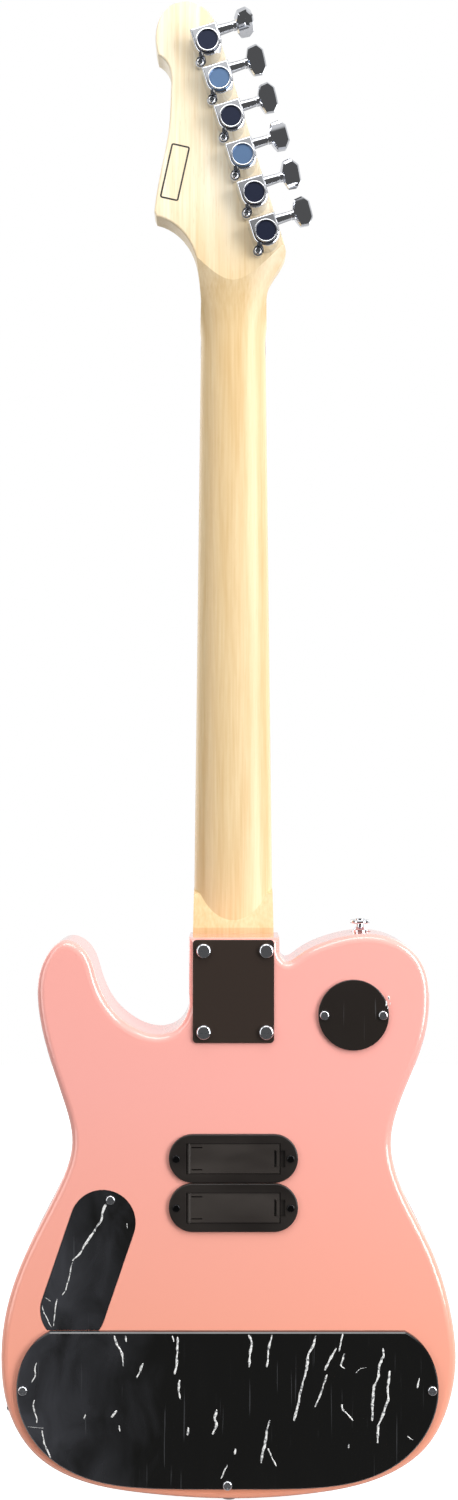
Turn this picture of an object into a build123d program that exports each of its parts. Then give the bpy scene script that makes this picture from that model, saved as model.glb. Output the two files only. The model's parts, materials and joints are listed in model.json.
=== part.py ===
from build123d import *
import os
from math import atan2, cos, degrees, hypot, radians, sin

# A solid-body electric guitar with its own battery-powered amplifier, hung upright by the headstock.
# X runs across the strings towards the treble side, Y from the strings to the back, Z up the neck.
# The origin is on the neck's centre line at the nut, on the glue line between fretboard and neck.
# Every piece on the body takes its height from the saddle line, one scale length below the nut.

# ---------------------------------------------------------------- strings and fretting
SCALE_LENGTH = 648.0
MOST_FRETS = 24
STRING_RADII = [0.60, 0.47, 0.35, 0.26, 0.22, 0.18]
NUT_STRING_PITCH = 7.0
SADDLE_STRING_PITCH = 10.5
NUT_ACTION = 0.5
SADDLE_ACTION = 3.0
STRING_GAP = 0.05
STRING_BEND_SWELL = 1.05

# ---------------------------------------------------------------- neck and fretboard
NUT_WIDTH = 43.0
HEEL_WIDTH = 55.0
BOARD_THICKNESS = 6.0
BOARD_RADIUS = 305.0
FRET_HEIGHT = 1.1
FRET_WIDTH = 2.3
FRET_INSET = 0.4
MARKER_RADIUS = 3.0
MARKER_DEPTH = 1.5
SINGLE_MARKERS = [3, 5, 7, 9, 15, 17, 19, 21]
DOUBLE_MARKERS = [12, 24]
NUT_THICKNESS = 3.5
NUT_LIP = 0.6
NECK_DEPTH_NUT = 15.2
NECK_DEPTH_HEEL = 17.0
HEEL_THICKNESS = 19.0
HEEL_RAMP = 22.0
ROD_WIDTH = 6.0
ROD_DEPTH = 9.0
ROD_END_GAP = 30.0
ROD_NUT_RADIUS = 3.6
SLIDE_GAP = 0.1

# ---------------------------------------------------------------- headstock and tuners
HEAD_FACE_DROP = 5.5
HEAD_THICKNESS = 14.5
HEAD_EDGE_ROUND = 1.2
FACE_START = 5.0
FLARE_ROOM = 1.0
FLARE_HEIGHTS = [-40.0, -24.0, -9.0, 6.0, 22.0, 50.0]
FLARE_WIDTH = 130.0
FLARE_DEPTH = 36.0
FLARE_BEND = 1.8
FIRST_POST = (-21.3, 35.2)
POST_PITCH = 26.0
POST_LINE_TILT = 17.0
POST_RADIUS = 3.0
POST_NECK_RADIUS = 2.4
POST_PROUD = 18.0
WRAP_HEIGHT = 8.0
SHAFT_CLEARANCE = 0.06
BUSHING_RADIUS = 4.9
BUSHING_HOLE_RADIUS = 5.0
WASHER_RADIUS = 7.0
WASHER_THICKNESS = 1.0
BUSHING_HEX = 11.0
BUSHING_HEX_HEIGHT = 2.6
HOUSING_RADIUS = 9.0
HOUSING_HEIGHT = 12.0
HOUSING_WALL = 1.6
WORM_OFFSET = 7.5
WORM_HEIGHT = 6.5
WORM_RADIUS = 2.2
WORM_SHAFT_RADIUS = 1.7
WHEEL_GAP = 0.3
WHEEL_THICKNESS = 5.0
SLEEVE_LENGTH = 10.0
SLEEVE_RADII = (3.5, 2.8)
CAP_RADIUS = 7.8
CAP_THICKNESS = 0.8
EAR_AT = (-7.5, -7.4)
EAR_SCREW_RADIUS = 1.2
EAR_SCREW_HEAD = 2.4
EAR_RADIUS = 3.2
EAR_THICKNESS = 3.5
KEY_GAP = 0.5
KEY_COLLAR = 2.0
KEY_LENGTH = 13.5
KEY_WIDTH = 18.5
KEY_THICKNESS = 8.4
KEY_CHAMFER = 1.0
KEY_CORNER = 1.2
KEY_CROWN = 28.0
KEY_REST_ANGLES = [15.0, 38.0, 8.0, 24.0, 28.0, 62.0]
TREE_RADIUS = 5.5
TREE_SCREW_RADIUS = 1.2
STRING_TREES = [(2, 30.0), (4, 52.0)]

# ---------------------------------------------------------------- body
BODY_THICKNESS = 45.0
BODY_FRONT = 3.0
BODY_EDGE_ROUND = 5.0
NECK_END = 154.0
HEEL_EDGE = 224.0
POCKET_GAP = 0.15
FRONT_WALL = 6.0
HEEL_HALF_WIDTHS = (-29.6, 28.6)
BASS_SIDE = [
    (-29.6, 214.5), (-35.2, 208.6), (-43.0, 213.2), (-58.0, 220.9), (-83.2, 226.3), (-107.0, 221.4),
    (-121.5, 207.5), (-126.0, 184.0), (-122.0, 157.0), (-107.0, 118.0), (-101.4, 91.0), (-108.5, 62.0),
    (-127.0, 24.0), (-140.5, -21.0), (-143.0, -47.0), (-139.0, -74.0), (-124.0, -103.5), (-96.0, -122.5),
    (-52.0, -133.0),
]
BODY_END = (2.8, -136.4)
TREBLE_SIDE = [
    (57.0, -133.0), (98.0, -125.0), (127.0, -108.5), (143.5, -83.0), (149.3, -49.0), (146.5, -18.0),
    (133.0, 22.0), (112.5, 63.0), (103.8, 91.0), (109.5, 120.0), (120.5, 154.5), (125.8, 184.0),
    (122.0, 209.0), (108.0, 222.3), (95.5, 216.0), (88.0, 198.0), (78.0, 178.0), (62.0, 165.2),
    (49.0, 161.7), (37.0, 165.2), (30.2, 174.5), (28.6, 188.0),
]

# ---------------------------------------------------------------- fasteners
NECK_SCREW_RADIUS = 2.2
NECK_SCREW_HEAD = 4.7
NECK_SCREW_BITE = 13.0
COVER_SCREW_RADIUS = 1.5
COVER_SCREW_HEAD = 3.0
COVER_SCREW_LENGTH = 11.0
CROSS_WIDTH_SHARE = 0.22
CROSS_DEPTH_SHARE = 0.35
PILOT_GAP = 0.02

# ---------------------------------------------------------------- back plates and covers
PLATE_SIZE = (52.0, 66.0)
PLATE_THICKNESS = 1.6
PLATE_CORNER = 2.5
PLATE_OFF_CENTRE = -1.0
PLATE_BELOW_EDGE = 1.0
PLATE_SCREW_PITCH = (40.0, 52.0)
COVER_LIP = 8.0
SWITCH_CENTRE = (-76.8, 174.9)
SWITCH_COVER_RADIUS = 22.6
SWITCH_COVER_THICKNESS = 2.0
SWITCH_SCREW_OFFSET = 18.7
CONTROL_A = (83.6, 41.9)
CONTROL_B = (102.7, -14.1)
CONTROL_COVER_RADIUS = 20.8
CONTROL_COVER_THICKNESS = 1.6
CONTROL_SCREW_OFFSET = 15.4
CONTROL_CAVITY_RADIUS = 14.0
CONTROL_CAVITY_SHIFT = 8.0
POT_SHIFTS = (4.0, 48.0)
MAIN_COVER_CENTRE = 3.8
MAIN_COVER_TOP = -27.0
MAIN_COVER_THICKNESS = 3.2
MAIN_COVER_BEVEL = 0.8
MAIN_COVER_SIDE = [
    (113.5, 0.0), (128.0, -13.0), (134.7, -37.0), (128.8, -61.4), (111.4, -82.3), (83.7, -95.5),
    (45.0, -100.2),
]
MAIN_COVER_DEPTH = 100.6
MAIN_SCREW_INSET = 4.2
COVER_SEAM = 0.3

# ---------------------------------------------------------------- battery boxes
BATTERY_SIZE = (48.5, 17.5, 26.5)
BATTERY_CORNER = 1.5
BOX_WALL = 1.5
BOX_RIM_LENGTH = 82.6
BOX_RIM_HEIGHT = 31.0
BOX_RIM_THICKNESS = 2.2
BOX_RIM_ROUND = 0.8
BOX_PITCH = 31.4
BOX_TOP_CENTRE = (0.0, 83.3)
BOX_SCREW_OFFSET = 36.6
BOX_SCREW_RADIUS = 1.3
BOX_SCREW_HEAD = 2.4
BOX_SCREW_LENGTH = 9.0
DOOR_LENGTH = 60.0
DOOR_HEIGHT = 19.6
DOOR_THICKNESS = 2.0
DOOR_GAP = 0.4
DOOR_RECESS = 0.5
HINGE_RADIUS = 1.2
HINGE_PIN_RADIUS = 0.6
HINGE_PIN_LENGTH = 1.2
TERMINAL_THICKNESS = 2.0
SNAP_RADIUS = 2.6
SNAP_HEIGHT = 2.6
SNAP_PITCH = 12.7

# ---------------------------------------------------------------- front hardware
GUARD_THICKNESS = 2.2
GUARD_GAP = 0.3
PICKUP_LENGTH = 70.0
PICKUP_WIDTH = 18.0
PICKUP_HEIGHT = 9.2
PICKUP_DEPTH = 9.0
PICKUP_EAR = 84.0
PICKUP_EAR_THICKNESS = 1.6
PICKUP_SCREW_LENGTH = 10.0
PICKUP_SCREW_PITCH = 77.0
POLE_RADIUS = 2.4
POLE_PROUD = 0.5
NECK_PICKUP_AT = 128.0
BRIDGE_PICKUP_AT = 24.0
BRIDGE_WIDTH = 82.0
BRIDGE_TOP = 9.0
BRIDGE_LENGTH = 33.0
BRIDGE_PLATE = 2.2
BRIDGE_LIP = 12.5
STRING_HOLE_RISE = 3.2
BALL_RADIUS = 1.9
BRIDGE_SCREW_RADIUS = 1.8
BRIDGE_SCREW_HEAD = 3.4
BRIDGE_SCREW_LENGTH = 20.0
SADDLE_WIDTH = 10.0
SADDLE_RADIUS = 3.25
SADDLE_SHIFT = -1.9
SADDLE_SCREW_RADIUS = 1.1
SADDLE_SCREW_HEAD = 2.0
HEIGHT_SCREW_RADIUS = 1.0
HEIGHT_SCREW_OFFSET = 3.9
RING_SIZE = (94.0, 26.0)
RING_THICKNESS = 2.0
RING_SCREW_PITCH = (84.0, 19.0)
SMALL_SCREW_RADIUS = 1.3
SMALL_SCREW_HEAD = 2.4
SMALL_SCREW_LENGTH = 7.0

# ---------------------------------------------------------------- controls
POT_RADIUS = 8.5
POT_HEIGHT = 9.0
POT_BUSH_RADIUS = 4.7
POT_BUSH_PROUD = 4.0
POT_SHAFT_RADIUS = 3.0
CONTROL_NUT_HEX = 11.5
CONTROL_NUT_HEIGHT = 2.2
KNOB_RADIUS = 9.6
KNOB_HEIGHT = 15.0
KNOB_LIFT = 1.0
KNOB_RECESS = (7.2, 5.0)
KNOB_ROUND = 2.0
SWITCH_BUSH_RADIUS = 6.0
SWITCH_BORE_RADIUS = 4.2
SWITCH_NUT_RADIUS = 8.2
SWITCH_NUT_HEIGHT = 3.0
SWITCH_PROUD = 7.0
SWITCH_FRAME = (13.0, 24.0, 20.0)
LEVER_RADIUS = 1.5
LEVER_PIVOT_DEPTH = 1.5
LEVER_PIN_RADIUS = 0.8
LEVER_TAIL = 5.0
LEVER_PROUD = 15.0
TIP_RADIUS = 3.6
TIP_LENGTH = 9.0

# ---------------------------------------------------------------- amplifier, speakers and jack
SPEAKER_OFFSET = 64.0
SPEAKER_Z = -79.0
SPEAKER_RADIUS = 33.0
SPEAKER_MOUTH = 28.0
SPEAKER_FLANGE = 2.0
SPEAKER_DEPTH = 16.0
SPEAKER_NECK = 15.0
MAGNET_RADIUS = 18.0
MAGNET_HEIGHT = 9.0
BASKET_WALL = 1.5
GRILLE_RADIUS = 34.5
GRILLE_THICKNESS = 2.0
GRILLE_SLOT = 2.8
GRILLE_BAR = 2.2
GRILLE_OPENING = 26.0
CIRCUIT_SIZE = (50.0, 60.0)
CIRCUIT_THICKNESS = 1.6
CIRCUIT_STAND = 15.0
STAND_RADIUS = 2.8
JACK_AT = (144.2, -81.0)
JACK_TILT = 17.0
JACK_PLATE_RADIUS = 13.0
JACK_PLATE_THICKNESS = 2.4
JACK_PLATE_PROUD = 1.4
JACK_BORE = 3.2
JACK_BARREL = 4.7
JACK_BODY = 7.0
JACK_BODY_LENGTH = 19.0
JACK_BORE_LENGTH = 22.0
STRAP_BASE = 5.0
STRAP_WAIST = 2.7
STRAP_HEAD = 6.45
STRAP_HEIGHT = 8.2
STRAP_SEAT = 0.5
STRAP_SCREW_LENGTH = 20.0
STRAP_SCREW_RADIUS = 1.7
STRAP_SCREW_HEAD = 3.4
CHANNEL_RADIUS = 3.2

# ---------------------------------------------------------------- worked-out places
SADDLE_Z = -SCALE_LENGTH
NECK_END_Z = SADDLE_Z + NECK_END
HEEL_EDGE_Z = SADDLE_Z + HEEL_EDGE
BODY_BACK = BODY_FRONT + BODY_THICKNESS
BODY_MIDDLE = (BODY_FRONT + BODY_BACK) / 2
CAVITY_FLOOR = BODY_FRONT + FRONT_WALL
BOARD_TOP = -BOARD_THICKNESS
FRET_TOP = BOARD_TOP - FRET_HEIGHT
HEAD_FACE = HEAD_FACE_DROP
HEAD_BACK = HEAD_FACE_DROP + HEAD_THICKNESS
POST_AXIS_STEP = (sin(radians(POST_LINE_TILT)) * POST_PITCH, cos(radians(POST_LINE_TILT)) * POST_PITCH)
POST_PLACES = [(FIRST_POST[0] + n * POST_AXIS_STEP[0], FIRST_POST[1] + n * POST_AXIS_STEP[1])
               for n in range(6)]
WHEEL_RADIUS = WORM_OFFSET - WORM_RADIUS - WHEEL_GAP
PLATE_CENTRE_Z = HEEL_EDGE_Z - PLATE_BELOW_EDGE - PLATE_SIZE[1] / 2
BOX_CENTRES = [(BOX_TOP_CENTRE[0], BOX_TOP_CENTRE[1] - n * BOX_PITCH) for n in range(2)]
PICKUP_EAR_Y = BODY_FRONT + PICKUP_DEPTH - PICKUP_EAR_THICKNESS
BRIDGE_END_Z = SADDLE_Z + BRIDGE_TOP - BRIDGE_LENGTH
COVER_EDGE_Z = SADDLE_Z + MAIN_COVER_TOP
SADDLE_TOP = FRET_TOP - SADDLE_ACTION
CONTROL_TURN = degrees(atan2(CONTROL_B[1] - CONTROL_A[1], CONTROL_B[0] - CONTROL_A[0]))

os.makedirs("parts", exist_ok=True)


def save(name, *solids):
    """Writes one node, as one solid or a group of separate ones."""
    pieces = [piece for solid in solids for piece in solid.solids()]
    shape = pieces[0] if len(pieces) == 1 else Compound(children=pieces)
    export_step(shape, f"parts/{name}.step")


def slab(outline, y_back, y_front):
    """An outline drawn in X and Z, filled from its back depth to its front depth."""
    return extrude(Plane.XZ.offset(-y_back) * outline, amount=y_back - y_front)


def outline_of(*curves):
    """A face bounded by curves that meet end to end."""
    return make_face([edge for curve in curves for edge in curve.edges()])


def rod(x, z, radius, y_back, y_front):
    """A round bar along Y."""
    return slab(Pos(x, z) * Circle(radius), y_back, y_front)


def on_body(place):
    """A place given from the saddle line, in the part's frame."""
    return (place[0], SADDLE_Z + place[1])


def slot_between(a, b, radius):
    """The outline of a slot between two centres."""
    angle = degrees(atan2(b[1] - a[1], b[0] - a[0]))
    middle = Pos((a[0] + b[0]) / 2, (a[1] + b[1]) / 2)
    return middle * Rot(0, 0, angle) * SlotCenterToCenter(hypot(b[0] - a[0], b[1] - a[1]), 2 * radius)


def bar_between(start, end, radius):
    """A round bar from one point to another."""
    path = Line(start, end)
    return sweep(Plane(origin=start, z_dir=path % 0) * Circle(radius), path=path)


def screw(place, y_seat, radius, head_radius, length, head_height, outward=1):
    """A cross-head wood screw standing along Y, its head outward of the seat."""
    face = y_seat + outward * head_height
    y_tip = y_seat - outward * length
    shank = rod(*place, radius, max(y_seat, y_tip), min(y_seat, y_tip))
    head = rod(*place, head_radius, max(face, y_seat), min(face, y_seat))
    head = fillet(head.edges().sort_by(Axis.Y)[-1 if outward > 0 else 0], head_height * 0.6)
    deep = face - outward * head_height * CROSS_DEPTH_SHARE * 2
    for size in ((1.3, CROSS_WIDTH_SHARE), (CROSS_WIDTH_SHARE, 1.3)):
        arm = Pos(*place) * Rectangle(size[0] * head_radius, size[1] * head_radius)
        head -= slab(arm, max(deep, face), min(deep, face))
    return head + shank


def pilot(place, y_seat, radius, length, outward=1):
    """The hole that a screw's shank fills."""
    far = y_seat - outward * (length + 1)
    return rod(*place, radius + PILOT_GAP, max(y_seat, far), min(y_seat, far))


# ================================================================ neck, fretboard and strings
def board_width(z):
    """The fretboard's width at a height, straight from nut to neck end."""
    return NUT_WIDTH + (HEEL_WIDTH - NUT_WIDTH) * z / NECK_END_Z


def board_outline(margin=0.0, z_top=0.0, z_end=None):
    """The tapered outline of the fretboard, or of a stretch of it."""
    z_end = NECK_END_Z if z_end is None else z_end
    top, end = board_width(z_top) / 2 + margin, board_width(z_end) / 2 + margin
    return make_face(Polyline((-top, z_top), (top, z_top), (end, z_end), (-end, z_end), close=True))


def crown(height):
    """The round top that a fretboard and its frets share, at a height above the board."""
    radius = BOARD_RADIUS + height
    length = 2 * SCALE_LENGTH
    return Pos(0, BOARD_TOP + BOARD_RADIUS, 0) * Cylinder(radius, length)


def fret_heights():
    """The frets' distances below the nut that still lie on the board."""
    places = [-SCALE_LENGTH * (1 - 2 ** (-n / 12)) for n in range(1, MOST_FRETS + 1)]
    return [z for z in places if z - FRET_WIDTH > NECK_END_Z]


def marker_places():
    """The position dots' places, between each fret and the one before it."""
    frets = [0.0] + fret_heights()
    places = []
    for n in SINGLE_MARKERS:
        if n < len(frets):
            places.append((0.0, (frets[n] + frets[n - 1]) / 2))
    for n in DOUBLE_MARKERS:
        if n < len(frets):
            z = (frets[n] + frets[n - 1]) / 2
            places += [(-board_width(z) / 4, z), (board_width(z) / 4, z)]
    return places


def make_fretboard():
    """The fretboard, its frets and its dots, all under one crown."""
    board = slab(board_outline(), 0, BOARD_TOP - 1) & crown(0)
    dots = [rod(x, z, MARKER_RADIUS, BOARD_TOP + MARKER_DEPTH, BOARD_TOP - 1) for x, z in marker_places()]
    save("fret_markers", *[dot & board for dot in dots])
    save("fretboard", board - Compound(children=dots))
    ring = crown(FRET_HEIGHT) - crown(0)
    blank = slab(board_outline(margin=-FRET_INSET), 0, FRET_TOP - 1) & ring
    wires = []
    for z in fret_heights():
        strip = Pos(0, z) * Rectangle(2 * HEEL_WIDTH, FRET_WIDTH)
        wires.append(blank & slab(strip, 0, FRET_TOP - 1))
    save("frets", *wires)


def string_x(n, pitch):
    return (n - 2.5) * pitch


def string_points(n):
    """A string's turning points: its ball behind the bridge, saddle, nut and tuner post."""
    radius = STRING_RADII[n]
    saddle_y = SADDLE_TOP - radius
    nut_y = FRET_TOP - NUT_ACTION - radius
    x_saddle, x_nut = string_x(n, SADDLE_STRING_PITCH), string_x(n, NUT_STRING_PITCH)
    x_post, z_post = POST_PLACES[n]
    wrap = POST_NECK_RADIUS + radius + STRING_GAP
    return [
        (x_saddle, BODY_FRONT - BRIDGE_PLATE - STRING_HOLE_RISE, BRIDGE_END_Z - BALL_RADIUS),
        (x_saddle, saddle_y, SADDLE_Z),
        (x_nut, nut_y, NUT_THICKNESS / 2),
        (x_post + wrap, HEAD_FACE - WRAP_HEIGHT, z_post),
    ]


def string_path(n, radius):
    """A string's straight runs as one bar of the given radius, also used to cut its grooves."""
    points = string_points(n)
    line = bar_between(points[0], points[1], radius)
    for start, end in zip(points[1:], points[2:]):
        line += bar_between(start, end, radius)
        line += Sphere(radius).moved(Location(start))
    return line


def make_strings():
    """Six taut strings, each with a ball behind the bridge and two turns round its post."""
    strings = []
    for n, radius in enumerate(STRING_RADII):
        points = string_points(n)
        line = string_path(n, radius) + Sphere(BALL_RADIUS).moved(Location(points[0]))
        x_post, z_post = POST_PLACES[n]
        wrap = POST_NECK_RADIUS + radius + STRING_GAP
        line += Sphere(radius * STRING_BEND_SWELL).moved(Location(points[-1]))
        for turn in range(2):
            y = points[-1][1] + turn * radius * 1.8
            line += Plane(origin=(x_post, y, z_post), z_dir=(0, 1, 0)) * Torus(wrap, radius)
        strings.append(line)
    save("strings", *strings)


def make_nut():
    """The nut across the neck's end, slotted for the strings."""
    outline = board_outline(z_top=NUT_THICKNESS, z_end=SLIDE_GAP)
    nut = slab(outline, 0, FRET_TOP - NUT_ACTION - NUT_LIP)
    for n, radius in enumerate(STRING_RADII):
        x = string_x(n, NUT_STRING_PITCH)
        bottom = FRET_TOP - NUT_ACTION + STRING_GAP
        cut = Pos(x, 0) * Rectangle(2 * (radius + STRING_GAP), 4 * NUT_THICKNESS)
        nut -= slab(cut, bottom, bottom - 4)
        nut -= string_path(n, radius + STRING_GAP)
    save("nut", nut)


# ================================================================ neck with its headstock
def half_oval(z, width, depth):
    """The neck's round back at a height, flat along the glue line."""
    arc = EllipticalCenterArc((0, 0), width / 2, depth, arc_size=180)
    return Plane.XY.offset(z) * make_face(arc + Line(arc @ 1, arc @ 0))


HEAD_TREBLE = [(22.6, 11.0), (24.3, 22.0), (29.5, 35.0), (38.8, 45.2), (51.0, 50.8)]
HEAD_HOLLOW = [(52.3, 54.0), (48.6, 78.0), (42.8, 108.0), (41.2, 133.0), (43.4, 151.5), (49.8, 157.6)]
HEAD_TIP = [(51.2, 164.0), (50.2, 178.0), (43.0, 189.3), (30.6, 193.3), (20.5, 189.8), (12.6, 180.5)]
HEAD_CORNER = (-35.0, 28.8)
HEAD_BASS = [(-31.6, 20.6), (-25.0, 10.5), (-22.2, 0.0)]
def head_outline():
    """The headstock's outline down to the nut, with the tuner edge straight."""
    foot_z = FLARE_HEIGHTS[0]
    half = board_width(foot_z) / 2 + FLARE_ROOM
    nut_half = NUT_WIDTH / 2
    treble = Spline([(nut_half, 0.0)] + HEAD_TREBLE)
    corner = Line(HEAD_TREBLE[-1], HEAD_HOLLOW[0])
    hollow = Spline(HEAD_HOLLOW)
    tip = Spline([HEAD_HOLLOW[-1]] + HEAD_TIP)
    edge = Line(HEAD_TIP[-1], HEAD_CORNER)
    bass = Spline([HEAD_CORNER] + HEAD_BASS)
    foot = Polyline(HEAD_BASS[-1], (-half, foot_z), (half, foot_z), (nut_half, 0.0))
    return outline_of(treble, corner, hollow, tip, edge, bass, foot)


def flare_section(z):
    """One section of the turn from the neck's round back to the headstock's flat one."""
    share = (max(0.0, z - FLARE_HEIGHTS[1]) / (FLARE_HEIGHTS[-1] - FLARE_HEIGHTS[1])) ** FLARE_BEND
    width = board_width(min(z, 0)) + (FLARE_WIDTH - NUT_WIDTH) * share
    return half_oval(z, width, NECK_DEPTH_NUT + (FLARE_DEPTH - NECK_DEPTH_NUT) * share)


def make_neck():
    """The neck in one piece: heel, round shaft, the turn and the headstock."""
    ramp_start = HEEL_EDGE_Z + 4
    ramp_end = ramp_start + HEEL_RAMP
    low = ramp_start - 30
    shaft = loft([half_oval(FLARE_HEIGHTS[0], board_width(FLARE_HEIGHTS[0]), NECK_DEPTH_NUT),
                  half_oval(low, board_width(low), NECK_DEPTH_HEEL)])
    profile = Polyline((0, NECK_END_Z), (HEEL_THICKNESS, NECK_END_Z), (HEEL_THICKNESS, ramp_start),
                       (NECK_DEPTH_HEEL * 0.55, ramp_end), (0, ramp_end + 4), close=True)
    heel = extrude(Plane.YZ.offset(-HEEL_WIDTH) * make_face(profile), amount=2 * HEEL_WIDTH)
    heel &= slab(board_outline(z_top=ramp_end + 10), HEEL_THICKNESS, 0)
    head = slab(head_outline(), HEAD_BACK, 0)
    head = fillet(head.faces().sort_by(Axis.Y)[-1].edges(), HEAD_EDGE_ROUND)
    flare = loft([flare_section(z) for z in FLARE_HEIGHTS])
    above = slab(Pos(0, FLARE_HEIGHTS[-1] + 150) * Rectangle(300, 300), HEAD_BACK + 1, -1)
    face_cut = slab(Pos(0, FACE_START + 150) * Rectangle(300, 300), HEAD_FACE, -1)
    root = face_cut.edges().filter_by(Axis.X).sort_by(Axis.Z)[:2].sort_by(Axis.Y)[-1]
    head = (head & (flare + above)) - fillet(root, HEAD_FACE - 0.6)
    return shaft + heel + head


def neck_screw_places():
    half_x, half_z = PLATE_SCREW_PITCH[0] / 2, PLATE_SCREW_PITCH[1] / 2
    return [(PLATE_OFF_CENTRE + dx, PLATE_CENTRE_Z + dz)
            for dx in (-half_x, half_x) for dz in (-half_z, half_z)]


def finish_neck(neck):
    """Bores the neck for its rod, tuners and bolts, and saves it with the rod."""
    rod_end = NECK_END_Z + ROD_END_GAP
    channel = Pos(0, rod_end / 2) * Rectangle(ROD_WIDTH + 2 * SLIDE_GAP, -rod_end + 2 * SLIDE_GAP)
    neck -= slab(channel, ROD_DEPTH + SLIDE_GAP, 0)
    bar = slab(Pos(0, rod_end / 2) * Rectangle(ROD_WIDTH, -rod_end), ROD_DEPTH, SLIDE_GAP)
    nut_y = HEAD_FACE - 0.9
    nut_bore = Plane(origin=(0, nut_y, -SLIDE_GAP), z_dir=(0, 0, 1)) * Circle(ROD_NUT_RADIUS + SLIDE_GAP)
    neck -= extrude(nut_bore, amount=26)
    nut_face = Plane(origin=(0, nut_y, 0), z_dir=(0, 0, 1)) * Circle(ROD_NUT_RADIUS)
    adjuster = extrude(nut_face, amount=14)
    hexagon = Plane(origin=(0, nut_y, 14), z_dir=(0, 0, 1)) * RegularPolygon(2.2, 6)
    adjuster -= extrude(hexagon, amount=-8)
    save("truss_rod", bar + adjuster)
    for x, z in POST_PLACES:
        neck -= rod(x, z, BUSHING_HOLE_RADIUS, HEAD_BACK + 1, HEAD_FACE - 1)
        frame = tuner_plane((x, z))
        neck -= frame * pilot_local(EAR_AT, EAR_SCREW_RADIUS, 8)
    for place in neck_screw_places():
        neck -= pilot(place, HEEL_THICKNESS, NECK_SCREW_RADIUS, NECK_SCREW_BITE)
    for place in tree_places():
        neck -= rod(*place, TREE_SCREW_RADIUS + PILOT_GAP, HEAD_FACE + 8, HEAD_FACE - 1)
    save("neck", neck)


# ================================================================ tuners
def tuner_plane(post):
    """A tuner's own frame: x out along its key's shaft, y up the headstock's edge, z out of the back."""
    tilt = radians(POST_LINE_TILT)
    return Plane(origin=(post[0], HEAD_BACK, post[1]), x_dir=(-cos(tilt), 0, sin(tilt)), z_dir=(0, 1, 0))


def pilot_local(place, radius, depth):
    """A small hole into the headstock, in a tuner's own frame."""
    return Pos(place[0], place[1], -depth / 2 + 0.5) * Cylinder(radius + PILOT_GAP, depth + 1)


def along_x(radius, x_start, x_end):
    """A round bar along a tuner's worm axis."""
    centre = Pos((x_start + x_end) / 2, WORM_OFFSET, WORM_HEIGHT)
    return centre * Rot(0, 90, 0) * Cylinder(radius, x_end - x_start)


def tuner_housing():
    """The cast gearbox: a round well for the wheel, a square shoulder for the worm and a screw ear."""
    top = WORM_OFFSET + SLEEVE_RADII[0]
    shoulder = Pos(0, top / 2) * Rectangle(2 * HOUSING_RADIUS, top)
    shell = extrude(make_face((Circle(HOUSING_RADIUS) + shoulder).face().outer_wire()), amount=HOUSING_HEIGHT)
    shell = fillet(shell.edges().group_by(Axis.Z)[-1], 1.2)
    sleeve_x = HOUSING_RADIUS + SLEEVE_LENGTH / 2
    cone = Cone(SLEEVE_RADII[0], SLEEVE_RADII[1], SLEEVE_LENGTH + 2)
    sleeve = Pos(sleeve_x - 1, WORM_OFFSET, WORM_HEIGHT) * Rot(0, 90, 0) * cone
    ear = extrude(slot_between((0, 0), EAR_AT, EAR_RADIUS), amount=EAR_THICKNESS)
    shell = shell + sleeve + ear
    well = HOUSING_RADIUS - HOUSING_WALL
    shell -= Pos(0, 0, (HOUSING_HEIGHT - HOUSING_WALL) / 2) * Cylinder(well, HOUSING_HEIGHT - HOUSING_WALL)
    shell -= along_x(WORM_RADIUS + 0.2, -HOUSING_RADIUS + HOUSING_WALL, HOUSING_RADIUS - HOUSING_WALL)
    shell -= along_x(WORM_SHAFT_RADIUS + SHAFT_CLEARANCE, 0, HOUSING_RADIUS + SLEEVE_LENGTH + 2)
    shell -= Pos(*EAR_AT) * Cylinder(EAR_SCREW_RADIUS + PILOT_GAP, 3 * EAR_THICKNESS)
    pocket = Cylinder(EAR_SCREW_HEAD + 0.15, HOUSING_HEIGHT)
    shell -= Pos(*EAR_AT, EAR_THICKNESS + HOUSING_HEIGHT / 2) * pocket
    cap_seat = Pos(0, 0, HOUSING_HEIGHT) * Cylinder(CAP_RADIUS + SLIDE_GAP, CAP_THICKNESS)
    return shell - cap_seat


def tuner_cap():
    """The pressed lid over the gear well, with a raised rim and a dished middle."""
    bottom = HOUSING_HEIGHT - CAP_THICKNESS / 2
    cap = Pos(0, 0, bottom + CAP_THICKNESS) * Cylinder(CAP_RADIUS, 2 * CAP_THICKNESS)
    cap = chamfer(cap.edges().sort_by(Axis.Z)[-1], CAP_THICKNESS * 0.6)
    return cap - Pos(0, 0, bottom + 2 * CAP_THICKNESS) * Cylinder(CAP_RADIUS * 0.84, CAP_THICKNESS * 0.8)


def tuner_screw():
    """The small screw through a housing's ear."""
    shank = Pos(0, 0, EAR_THICKNESS / 2 - 3.5) * Cylinder(EAR_SCREW_RADIUS, EAR_THICKNESS + 7)
    head = Pos(0, 0, EAR_THICKNESS + 0.8) * Cylinder(EAR_SCREW_HEAD, 1.6)
    head = fillet(head.edges().sort_by(Axis.Z)[-1], 1.0)
    for size in ((3.2, 0.6), (0.6, 3.2)):
        head -= Pos(0, 0, EAR_THICKNESS + 1.4) * Box(size[0], size[1], 1.2)
    return Pos(*EAR_AT) * (head + shank)


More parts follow.
